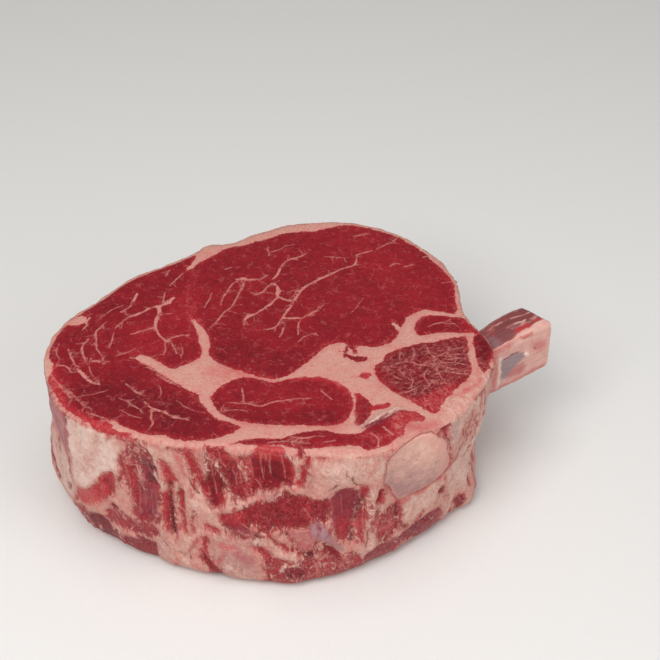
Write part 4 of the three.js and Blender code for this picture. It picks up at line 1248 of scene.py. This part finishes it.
def feed(tree, slot, part):
    """Links a Value to a socket, or sets the socket's own value."""
    if isinstance(part, Value):
        tree.links.new(part.socket, slot)
    else:
        slot.default_value = part


def srgb(red, green, blue):
    """A colour given as it looks on a screen, 0 to 255, turned into the linear one shaders use."""
    def linear(part):
        part = part / 255
        return part / 12.92 if part <= 0.04045 else ((part + 0.055) / 1.055) ** 2.4
    return (linear(red), linear(green), linear(blue), 1.0)


class Paintbox:
    """Makes the nodes of one material. Places are in millimetres."""

    def __init__(self, name):
        self.material = bpy.data.materials.new(name)
        self.material.use_nodes = True
        self.tree = self.material.node_tree
        self.shader = self.tree.nodes["Principled BSDF"]
        coordinates = self.tree.nodes.new("ShaderNodeTexCoord")
        self.place = self.stretched(Value(self.tree, coordinates.outputs["Object"]), (1000, 1000, 1000))

    def stretched(self, vector, factors):
        """A vector with each part multiplied."""
        node = self.tree.nodes.new("ShaderNodeVectorMath")
        node.operation = "MULTIPLY"
        feed(self.tree, node.inputs[0], vector)
        node.inputs[1].default_value = factors
        return Value(self.tree, node.outputs[0])

    def attribute(self, name, output="Fac"):
        node = self.tree.nodes.new("ShaderNodeAttribute")
        node.attribute_name = name
        return Value(self.tree, node.outputs[output])

    def parts(self, vector):
        node = self.tree.nodes.new("ShaderNodeSeparateXYZ")
        feed(self.tree, node.inputs[0], vector)
        return [Value(self.tree, output) for output in node.outputs]

    def length(self, x, y):
        """Length of the step x, y."""
        node = self.tree.nodes.new("ShaderNodeMath")
        node.operation = "SQRT"
        feed(self.tree, node.inputs[0], x * x + y * y)
        return Value(self.tree, node.outputs[0])

    def noise(self, size, vector=None, detail=3.0):
        """Noise from about -1 to 1 with lumps of this size, in millimetres."""
        node = self.tree.nodes.new("ShaderNodeTexNoise")
        node.inputs["Scale"].default_value = 1 / size
        node.inputs["Detail"].default_value = detail
        node.inputs["Roughness"].default_value = NOISE_ROUGHNESS
        feed(self.tree, node.inputs["Vector"], vector or self.place)
        return (Value(self.tree, node.outputs["Fac"]) - 0.5) * 4.0

    def warped(self, size, amount, vector=None):
        """A place shifted by noise with lumps of this size, by up to about this amount."""
        node = self.tree.nodes.new("ShaderNodeTexNoise")
        node.inputs["Scale"].default_value = 1 / size
        node.inputs["Detail"].default_value = 1.0
        feed(self.tree, node.inputs["Vector"], self.place)
        shift = self.stretched(Value(self.tree, node.outputs["Color"]), (2 * amount,) * 3)
        total = self.tree.nodes.new("ShaderNodeVectorMath")
        feed(self.tree, total.inputs[0], vector or self.place)
        feed(self.tree, total.inputs[1], shift)
        return Value(self.tree, total.outputs[0])

    def cells(self, size, vector=None, feature="F1"):
        """Voronoi cells of this size: distance to the middle, or to the border, of a cell."""
        node = self.tree.nodes.new("ShaderNodeTexVoronoi")
        node.feature = feature
        node.inputs["Scale"].default_value = 1 / size
        feed(self.tree, node.inputs["Vector"], vector or self.place)
        return Value(self.tree, node.outputs["Distance"])

    def step(self, low, high, value):
        """0 below low, 1 above high, and a soft rise between. With low above high it falls."""
        node = self.tree.nodes.new("ShaderNodeMapRange")
        node.interpolation_type = "SMOOTHSTEP"
        flipped = low > high
        feed(self.tree, node.inputs["Value"], value)
        node.inputs["From Min"].default_value = high if flipped else low
        node.inputs["From Max"].default_value = low if flipped else high
        node.inputs["To Min"].default_value = 1.0 if flipped else 0.0
        node.inputs["To Max"].default_value = 0.0 if flipped else 1.0
        return Value(self.tree, node.outputs["Result"])

    def scale_of(self, value, stops):
        """A colour scale: value runs through the stops, each a position and a colour."""
        node = self.tree.nodes.new("ShaderNodeValToRGB")
        low, high = stops[0][0], stops[-1][0]
        feed(self.tree, node.inputs["Fac"], (value - low) * (1 / (high - low)))
        elements = node.color_ramp.elements
        while len(elements) < len(stops):
            elements.new(0.5)
        for element, (place, colour) in zip(elements, stops):
            element.position = (place - low) / (high - low)
            element.color = srgb(*colour)
        return Value(self.tree, node.outputs["Color"])

    def blend(self, share, first, second):
        """Second over first, as far as share says. Either may be a Value or an sRGB colour."""
        node = self.tree.nodes.new("ShaderNodeMix")
        node.data_type = "RGBA"
        feed(self.tree, node.inputs["Factor"], share)
        for slot, part in zip((node.inputs["A"], node.inputs["B"]), (first, second)):
            feed(self.tree, slot, part if isinstance(part, Value) else srgb(*part))
        return Value(self.tree, node.outputs["Result"])

    def finish(self, colour, roughness, height, bump, **settings):
        """Puts colour, roughness and a bump from height (in millimetres) on the shader."""
        feed(self.tree, self.shader.inputs["Base Color"], colour)
        feed(self.tree, self.shader.inputs["Roughness"], roughness)
        node = self.tree.nodes.new("ShaderNodeBump")
        node.inputs["Strength"].default_value = bump
        node.inputs["Distance"].default_value = MM
        feed(self.tree, node.inputs["Height"], height)
        self.tree.links.new(node.outputs["Normal"], self.shader.inputs["Normal"])
        for name, amount in settings.items():
            self.shader.inputs[name.replace("_", " ")].default_value = amount
        return self.material

# %% [markdown]
# ## The flesh
#
# One material covers the whole skin and decides at every point what is there. Meat has a colour
# scale from maroon to scarlet and salmon, driven by tone and by mottling at several sizes. Fat has
# one from white over cream to pink, with the grain of its small lobes. Marbling and silvery skin come
# over both, cracks and holes get painted shade, and the border between meat and fat is frayed by noise.
#
# On the wall nearly everything is drawn out along the fibres, so streaks of three widths, read
# through grain, move the tone, fray the borders and lay thin fat over the edges of the meat.

# %% The flesh material
LEAN_SCALE = [
    (-1.2, (72, 8, 18)), (-0.6, (102, 12, 23)), (0.0, (136, 19, 31)),
    (0.6, (165, 33, 43)), (1.3, (195, 80, 78)),
]
FAT_SCALE = [(-1.2, (226, 194, 182)), (0.0, (203, 150, 136)), (1.2, (198, 102, 98))]
FILM_SCALE = [(-1.0, (112, 44, 58)), (0.3, (146, 82, 94)), (1.0, (178, 144, 156))]
MARBLING = (206, 134, 124)
FINE_MARBLING = (196, 108, 104)
BLOOD = (170, 56, 54)
THIN_FAT = (208, 142, 132)
# The painted shade inside cracks and holes.
CRACK_SHADE = (92, 18, 20)


def flesh_material():
    box = Paintbox("flesh")
    side = box.attribute("side")
    face = 1.0 - side
    film = box.attribute("film")
    grain = box.attribute("grain", "Vector")
    swaying = box.warped(7.0, 5.0, grain)
    hairs = box.noise(1.0, box.stretched(swaying, (2.0, 2.0, 0.28)), 3.0)
    streaks = box.noise(1.0, box.stretched(swaying, (0.75, 0.75, 0.13)), 4.0)
    broad_streaks = box.noise(1.0, box.stretched(swaying, (0.26, 0.26, 0.06)), 3.0)
    mottling = box.noise(9.0, detail=4.0)
    patches = box.noise(2.6)
    grit = box.noise(0.8, detail=2.0)
    tufts = box.noise(1.5, detail=2.0)

    # Where the meat is. The border is frayed, most of all where the net says that both are mixed.
    lean = box.attribute("lean")
    net = box.attribute("net")
    frayed = lean + patches * 0.40 + tufts * 0.30 + grit * 0.25
    frayed = frayed + (streaks * 1.5 + hairs * 0.9) * side
    frayed = frayed + (patches * 0.8 + streaks * 1.4) * net * side
    meat_here = box.step(-0.35, 0.35, frayed * (1.0 - side * 0.72))

    # Meat.
    tone = box.attribute("tone") + mottling * 0.20 + grit * 0.30 + patches * 0.16 + tufts * 0.14
    tone = tone + (streaks * 0.40 + broad_streaks * 0.30 + hairs * 0.20) * side
    tone = tone + box.step(2.5, 0.3, lean) * 0.22 * face
    meat_colour = box.scale_of(tone, LEAN_SCALE)

    # Fine marbling: lines where noise crosses its middle value, broken up by another noise, which
    # reaches further near the fat, a finer net of cell borders, and short pale worms of fat where
    # the net is dense.
    wavy = box.warped(3.0, 2.4)
    lines = box.step(0.16, 0.03, box.noise(6.0, wavy, detail=2.0).size())
    thin_lines = box.step(0.22, 0.04, box.noise(2.6, wavy, detail=1.0).size())
    near_fat = box.step(4.0, 0.4, lean)
    kept = box.step(-0.5, 0.9, box.noise(5.0, detail=1.0) + near_fat * 0.5)
    kept_thin = box.step(0.0, 1.1, box.noise(3.4, detail=1.0) + near_fat * 0.6)
    net_lines = box.step(0.20, 0.04, box.cells(2.6, box.warped(1.6, 1.5), "DISTANCE_TO_EDGE"))
    net_lines = net_lines * box.step(-0.9, 0.5, patches) * net.at_most(1.0)
    flecks = box.step(1.0, 1.5, box.noise(1.0, detail=1.0)) * 0.13
    marbled = ((lines * kept * 0.30 + thin_lines * kept_thin * 0.20 + flecks) * face)
    marbled = marbled.at_least(net_lines * 0.34)
    meat_colour = box.blend(marbled.at_most(0.7), meat_colour, FINE_MARBLING)
    worms = box.step(0.26, 0.08, box.noise(3.6, box.warped(2.0, 1.8), detail=0.0).size())
    worms = worms * box.step(-0.7, 0.4, box.noise(3.0, detail=0.0)) * net.at_most(1.0) * face
    meat_colour = box.blend(worms * 0.50, meat_colour, MARBLING)

    # Fat, pinker where meat is near, with lobes on the cut face and hairs of skin on the wall.
    lobe_edges = box.step(0.45, 0.85, box.cells(1.5))
    fat_tone = box.attribute("blush") + mottling * 0.24 + patches * 0.22 + lobe_edges * 0.35
    fat_tone = fat_tone + (patches * 0.5 + grit * 0.5) * net * face
    fat_tone = fat_tone + (streaks * 0.40 + broad_streaks * 0.40 + hairs * 0.25) * side
    fat_tone = fat_tone + box.step(-3.5, 0.0, lean) * (0.30 - face * 0.12) + face * 0.14
    fat_colour = box.scale_of(fat_tone, FAT_SCALE)
    speck = box.step(1.0, 1.5, box.noise(2.2, detail=2.0)) * 0.45
    stain = box.step(0.4, 1.6, box.noise(6.5, detail=3.0) + streaks * 0.4) * side * 0.5
    clean = box.step(-0.5, -1.2, box.attribute("blush"))
    fat_colour = box.blend(speck.at_least(stain) * (1.0 - clean), fat_colour, BLOOD)
    colour = box.blend(meat_here, fat_colour, meat_colour)

    # Thin fat and skin left on the meat of the wall, in hairs along the fibres.
    left_on = box.step(0.0, 1.0, hairs * 0.8 + streaks * 0.5 - lean * 0.08) * side * 0.55
    colour = box.blend(left_on * meat_here, colour, THIN_FAT)

    # The large veins, as wide as the length of their step says, fading in and out.
    across, along, half = box.parts(box.attribute("vein", "Vector"))
    distance = box.length(across, along) + grit * 0.20 + tufts * 0.20
    drawn = box.step(0.42, -0.22, distance - half * (0.70 - side * 0.10))
    drawn = drawn * box.step(1.35, 1.0, box.attribute("vein_near"))
    fading = box.step(-1.2, 0.6, box.noise(2.4, detail=1.0)) * 0.35 + half * 0.80
    fading = fading.at_most(0.9) * (meat_here * 0.8 + 0.2) * (1.0 - side * 0.35)
    colour = box.blend(drawn * fading, colour, MARBLING)

    # Silvery skin, streaked, thin enough to let the colours through.
    spread = film + (streaks * 0.20 + patches * 0.16) * box.step(0.0, 0.3, film)
    film_colour = box.scale_of(film - 0.6 + streaks * 0.35 + hairs * 0.3 - meat_here * 0.4, FILM_SCALE)
    colour = box.blend((spread * 0.62).at_least(0.0).at_most(0.85), colour, film_colour)

    # Painted shade in cracks and holes: their insides are laid over with dark red.
    across, along, half = box.parts(box.attribute("crack", "Vector"))
    distance = box.length(across, along) + grit * 0.20 + tufts * 0.20
    slit = box.step(0.35, -0.25, distance - half * 0.55) * box.step(1.35, 1.0, box.attribute("crack_near"))
    slit = slit * box.step(-1.3, 0.3, patches)
    dark = (slit * 0.7).at_least(box.step(-0.3, 0.7, box.attribute("pit") + patches * 0.3) * 0.8)
    colour = box.blend(dark, colour, CRACK_SHADE)

    # Gloss and fine bumps.
    roughness = 0.50 - film.at_most(1.0) * 0.10 + patches * 0.05 - meat_here * 0.04
    height = grit * 0.12 + (streaks * 0.22 + hairs * 0.12) * side + drawn * 0.10
    height = height - lobe_edges * 0.12 * (1.0 - meat_here)
    return box.finish(
        colour, roughness, height, 0.6, Specular_IOR_Level=0.20, Subsurface_Weight=0.05,
        Subsurface_Scale=0.002, Coat_Weight=0.03, Coat_Roughness=0.25,
    )


meat.data.materials.clear()
meat.data.materials.append(flesh_material())
print("flesh:", len(meat.data.materials[0].node_tree.nodes), "nodes")

# %% [markdown]
# ## The rib
#
# The rib crosses the roast and stands out at the right, scraped almost clean: a butcher calls that
# frenched. Its front end was sawn through, flush with the wall, and shows the marrow's pores. The
# piece is the frame's bone with an even skin, swollen a little so that it fills the tunnel. Every
# corner gets three numbers of its own: how far along the middle line of the bone it is, how far to
# the side of that line, and how far above it.

# %% The rib's shape and fields
RIB_VOXEL = 0.7
RIB_SWELL = 0.5
RIB_SMOOTHING = 3
# The middle line of the bone: x and y from FACE_ZERO, and the height.
RIB_LINE = [
    (60.5, -87, 61.5), (71, -71, 61.5), (83, -51, 61.5), (90, -29, 62), (97, -11, 62),
    (109.6, 3.8, 60.9), (122.4, 14.2, 61.2), (134.4, 21.6, 62.3),
]

rib = remeshed("rib", ["rib_bone"], RIB_SWELL, RIB_VOXEL)
smooth(rib, RIB_SMOOTHING)
bone = corner_places(rib)
bone_facing = corner_normals(rib)
line = rounded(np.array(RIB_LINE, float)[:, :2] + FACE_ZERO)
line_lengths = np.append(0, np.cumsum(np.hypot(*np.diff(line, axis=0).T)))
_, aside, which = to_nearest(bone[:, :2], line[:-1], line[1:])
directions = np.diff(line, axis=0)[which]
directions /= np.hypot(directions[:, 0], directions[:, 1])[:, None]
ahead = ((bone[:, :2] - line[:-1][which]) * directions).sum(1) + line_lengths[which]
sideways = directions[:, 0] * aside[:, 1] - directions[:, 1] * aside[:, 0]
middle_height = np.interp(ahead, line_lengths, rounded(
    np.column_stack([np.arange(len(RIB_LINE)), np.array(RIB_LINE)[:, 2]]))[:, 1])
up = bone[:, 2] - middle_height
bone_length = line_lengths[-1]
print("rib:", len(bone), "corners,", round(float(ahead.max())), "mm long")

# %% [markdown]
# The free end was scraped with the knife along the bone. What clung to its upper face dried to a
# dark red brown, streaked along the bone, with a bright smear of blood at its front edge. The side
# towards the front kept a patch of blue grey membrane and a pale blob of gristle. All of that is
# painted with the same tools as the meat, in two planes: along the bone and sideways for its top,
# and along the bone and upwards for its side.
#
# The sawn end needs no marks. Inside the meat nothing else of the bone shows, so everything up to
# SAWN_REACH counts as the cut: beige with a pink rim, duller to one side, and pitted where the
# marrow's cells are cut open. On this bone the same fields mean: tone, how much dried meat is left,
# and net, how red a smear is.

# %% Paint and shape the rib
FREE_LENGTH = 37.6
SAWN_REACH = 45.0
RIB_TOP_MARKS = [
    # Dried remains all over, with darker and paler streaks along the bone.
    blot([(-8, -8), (6, -8), (20, -7.2), (33, -6.4), (39, -4), (40, 12), (20, 14), (-8, 14)], tone=0.8,
         soft=1.2),
    blot([(7, -7), (18, -7), (19, -1.5), (9, 0)], tone=1.6, film=0.1, soft=1),
    stroke(1.1, [(14, 1.8), (24, 1.0), (34, 0.2)], tone=1.7, soft=1),
    stroke(0.9, [(24, 5.6), (36, 4.8)], tone=1.4, soft=1),
    stroke(0.5, [(9, 4), (19, 3.4)], tone=0.5, soft=0.8),
    stroke(0.5, [(18, -1.2), (30, -1.8)], tone=0.45, soft=0.8),
    stroke(0.5, [(24, 3.2), (35, 2.4)], tone=0.5, soft=0.8),
    stroke(1.2, [(20, -3.2), (28, -3.4)], tone=0.6, film=0.25, soft=1.2),
    stroke(1.6, [(21, -5.6), (29, -5.0)], net=1.0, soft=1.2),
    stroke(1.1, [(33, -4.6), (38, -4.2)], net=0.7, soft=1.2),
    stroke(0.9, [(34, -2.2), (38, -1.2)], tone=0.35, blush=0.2, soft=1),
    blot([(2, -8), (8, -8), (8, 0), (2, 0)], tone=1.0, film=0.5, soft=2),
    stroke(1.6, [(6, 8.4), (20, 9.2), (36, 9.2)], tone=0.45, film=0.2, soft=1.6),
]
RIB_SIDE_MARKS = [
    # The patch of blue grey membrane, dark along its upper edge, and the gristle at its corner.
    stroke(3.0, [(14, -6), (22, -7)], blush=1.2, film=0.25, soft=2.5),
    blot([(7, 5.5), (13, 5.5), (19, 5), (25, 3.5), (22, -1), (18, -3), (14, -4.5), (12, -7.5),
         (7, -8.5)], film=1.05, soft=1.5),
    stroke(0.8, [(9, 5.8), (14, 6), (19, 5.4)], tone=0.8, film=0.5, soft=0.8),
    stroke((1.0, 1.4), [(24, 2.6), (26.5, 1.0)], film=0.0, blush=-1.6, rise=0.5, soft=0.8),
    stroke(0.5, [(6, 8), (6.3, -2), (6.2, -14)], blush=-1.4, soft=0.8),
    stroke(1.6, [(2, 12), (3, 0), (2, -14)], blush=1.1, soft=2),
    blot([(29, 8), (38, 6), (38, 0), (30, 1)], blush=0.9, soft=3),
    stroke(0.7, [(30, 4.5), (31.5, 3)], tone=0.6, soft=1),
    stroke(1.4, [(0, -13.5), (20, -14), (38, -13)], blush=1.2, soft=2),
    stroke(1.3, [(21, 14.5), (28, 14)], net=0.8, soft=1.5),
    stroke(2.0, [(2, 13), (12, 13)], blush=0.8, soft=2),
]
osseous = blank_fields(np.full(len(bone), -6.0))
free = ahead - (bone_length - FREE_LENGTH)
on_top = bone_facing[:, 2] > 0.55
paint_marks(osseous, on_top, ragged(np.column_stack([free, sideways])[on_top], 0.8, 0.6), RIB_TOP_MARKS)
paint_marks(osseous, ~on_top, ragged(np.column_stack([free, up])[~on_top], 0.8, 0.6), RIB_SIDE_MARKS)

sawn = (ahead < SAWN_REACH).astype(float)
cut_end = smoothstep(0.6, 0.85, (bone_facing[:, :2] * directions).sum(1)) * (free > FREE_LENGTH - 8)
lift = osseous["rise"] + 0.35 * grain_of_noise(bone, 6.0, 5.5) + 0.15 * grain_of_noise(bone, 2.0, 9.1)
lift *= 1 - cut_end
move_corners(rib, np.clip(bone + bone_facing * lift[:, None], low, high))
for name in ("tone", "blush", "film", "net"):
    store(rib.data, name, osseous[name])
store(rib.data, "sawn", sawn)
store(rib.data, "cut_end", cut_end)
store(rib.data, "rod", np.column_stack([free, sideways, up]))
print("sawn face:", int((sawn > 0.5).sum()), "corners, free end:", int((cut_end > 0.5).sum()), "corners")

# %% [markdown]
# ## The finish of the bone
#
# Scraped bone is pale beige with a pink cast, satin, and streaked along its length. Dried remains
# of meat lie over its top in dark streaks, and a patch of membrane greys its side. The sawn face is
# duller, with open pores. One material holds all of that. Its streaks are noise read through the
# bone's own three numbers, long along the bone and short across it, so they bend where it bends.
# Straight coordinates would be simpler, but the streaks would then run off the bone at the bend.

# %% The bone material
BONE_SCALE = [(-1.2, (234, 204, 192)), (0.0, (214, 162, 150)), (1.2, (198, 112, 106))]
REMAINS_SCALE = [(-1.0, (84, 14, 24)), (0.0, (124, 38, 44)), (1.1, (188, 112, 104))]
SMEAR = (184, 46, 48)
MEMBRANE = (134, 118, 124)
SAWN_SCALE = [(-1.0, (168, 122, 120)), (0.0, (203, 154, 141)), (1.0, (226, 180, 163))]
SAWN_RIM = (214, 146, 136)
SAWN_HALF = (7.6, 21.2)
PORE = (116, 62, 52)


def bone_material():
    box = Paintbox("bone")
    rod = box.attribute("rod", "Vector")
    sawn = box.attribute("sawn")
    ahead, aside, above_line = box.parts(rod)
    streaks = box.noise(1.0, box.stretched(rod, (0.10, 0.7, 0.7)), 4.0)
    scratches = box.noise(1.0, box.stretched(rod, (0.14, 1.5, 1.5)), 3.0)
    patches = box.noise(5.0)
    grit = box.noise(1.0, detail=2.0)

    blush = box.attribute("blush") + streaks * 0.35 + patches * 0.25 + grit * 0.12
    colour = box.scale_of(blush, BONE_SCALE)
    shade = streaks * 0.45 + scratches * 0.40 + patches * 0.20 + 0.4 - box.attribute("tone") * 0.6
    remains = box.scale_of(shade, REMAINS_SCALE)
    dried = box.step(0.25, 0.75, box.attribute("tone") + streaks * 0.28 + patches * 0.15)
    colour = box.blend(dried * 0.9, colour, remains)
    colour = box.blend(box.step(0.2, 0.9, box.attribute("net") + streaks * 0.2) * 0.85, colour, SMEAR)
    colour = box.blend((box.attribute("film") * 0.8 + streaks * 0.12).at_most(0.9), colour, MEMBRANE)

    # The sawn face: a pink rim, a duller side, and pores drawn out by the saw.
    pores = box.step(0.46, 0.26, box.cells(2.0, box.stretched(rod, (1.0, 0.7, 1.3))))
    few = box.step(0.1, 1.2, box.noise(3.5))
    shade = (above_line * 0.040) - (aside * 0.060) + patches * 0.45 + grit * 0.35 + scratches * 0.20
    shade = shade + box.noise(9.0) * 0.40 - 0.15
    face = box.blend(pores * few * 0.6, box.scale_of(shade, SAWN_SCALE), PORE)
    across, upright = aside * (1 / SAWN_HALF[0]), above_line * (1 / SAWN_HALF[1])
    rim = box.step(0.82, 1.02, box.length(across, upright) + patches * 0.08)
    face = box.blend(rim * 0.55, face, SAWN_RIM)
    colour = box.blend(sawn, colour, face)
    cream = box.scale_of(patches * 0.4 + grit * 0.2 - 0.7, BONE_SCALE)
    colour = box.blend(box.attribute("cut_end"), colour, cream)

    roughness = 0.46 + patches * 0.05 + sawn * 0.08
    height = streaks * 0.18 * (1.0 - sawn) + grit * 0.08 - pores * few * sawn * 0.4
    return box.finish(
        colour, roughness, height, 0.6, Specular_IOR_Level=0.3, Subsurface_Weight=0.05,
        Subsurface_Scale=0.0015, Coat_Weight=0.03, Coat_Roughness=0.25,
    )


rib.data.materials.clear()
rib.data.materials.append(bone_material())
print("bone:", len(rib.data.materials[0].node_tree.nodes), "nodes")

# %% [markdown]
# ## Joining the pieces to the frame
#
# The meat stands for the eight muscles and the fat between them, and the rib for the bone. Both
# ride on the frame's only body.

# %% Ride, replace, shade smooth
for piece, nodes, slot in ((meat, MEAT_NODES, "lean_meat"), (rib, ["rib_bone"], "bone")):
    piece.data.shade_smooth()
    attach(piece, "root")
    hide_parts(*nodes)

# %% [markdown]
# ## The studio
#
# A pale floor and large soft lights, as for a catalogue. The main light comes from above and a
# little from the front, so the cut face and the upper part of the wall are about equally bright and
# the wall darkens towards the floor.

# %% Camera, floor and lights
CAMERA_AIM = np.append(FACE_ZERO + (29, 0), 85) * MM
CAMERA_DISTANCE = 0.779
CAMERA_TILT = 50.0
LENS = 85.0
FLOOR_SIDE = 6.0
FLOOR_COLOUR = (228, 226, 223)
FLOOR_SHADE = (200, 198, 195)
SKY_COLOUR = (255, 255, 255)
SKY_STRENGTH = 0.28
# Each light: name, place, size and power in watts. All of them point at the middle of the slab.
LIGHTS = [
    ("key", (-0.35, -0.70, 1.00), 0.7, 10.0),
    ("fill", (0.90, -0.55, 0.75), 0.8, 4.0),
    ("top", (0.00, -0.10, 1.35), 0.9, 4.5),
]

camera_data = bpy.data.cameras.new("camera")
camera_data.lens = LENS
camera = bpy.data.objects.new("camera", camera_data)
camera.location = CAMERA_AIM + CAMERA_DISTANCE * np.array(
    [0, -math.sin(math.radians(CAMERA_TILT)), math.cos(math.radians(CAMERA_TILT))])
camera.rotation_euler = (math.radians(CAMERA_TILT), 0, 0)
bpy.context.scene.collection.objects.link(camera)
bpy.context.scene.camera = camera

floor_mesh = bpy.data.meshes.new("floor")
sheet = bmesh.new()
bmesh.ops.create_grid(sheet, x_segments=1, y_segments=1, size=FLOOR_SIDE / 2)
sheet.to_mesh(floor_mesh)
sheet.free()
floor = new_piece("floor", floor_mesh)
paper = Paintbox("paper")
paper_tone = paper.blend(paper.noise(3.0) * 0.02 + 0.02, FLOOR_COLOUR, FLOOR_SHADE)
floor_mesh.materials.append(paper.finish(paper_tone, 0.8, paper.noise(1.2), 0.05))

for name, place, size, power in LIGHTS:
    lamp = bpy.data.lights.new(name, "AREA")
    lamp.size = size
    lamp.energy = power
    light = bpy.data.objects.new(name, lamp)
    light.location = place
    aim = Vector((0, 0, THICKNESS / 2 * MM)) - Vector(place)
    light.rotation_euler = aim.to_track_quat("-Z", "Y").to_euler()
    bpy.context.scene.collection.objects.link(light)

world = bpy.data.worlds.new("sky")
world.use_nodes = True
world.node_tree.nodes["Background"].inputs["Color"].default_value = srgb(*SKY_COLOUR)
world.node_tree.nodes["Background"].inputs["Strength"].default_value = SKY_STRENGTH
bpy.context.scene.world = world
bpy.context.scene.view_settings.view_transform = "Standard"
print("studio ready,", len(LIGHTS), "lights")
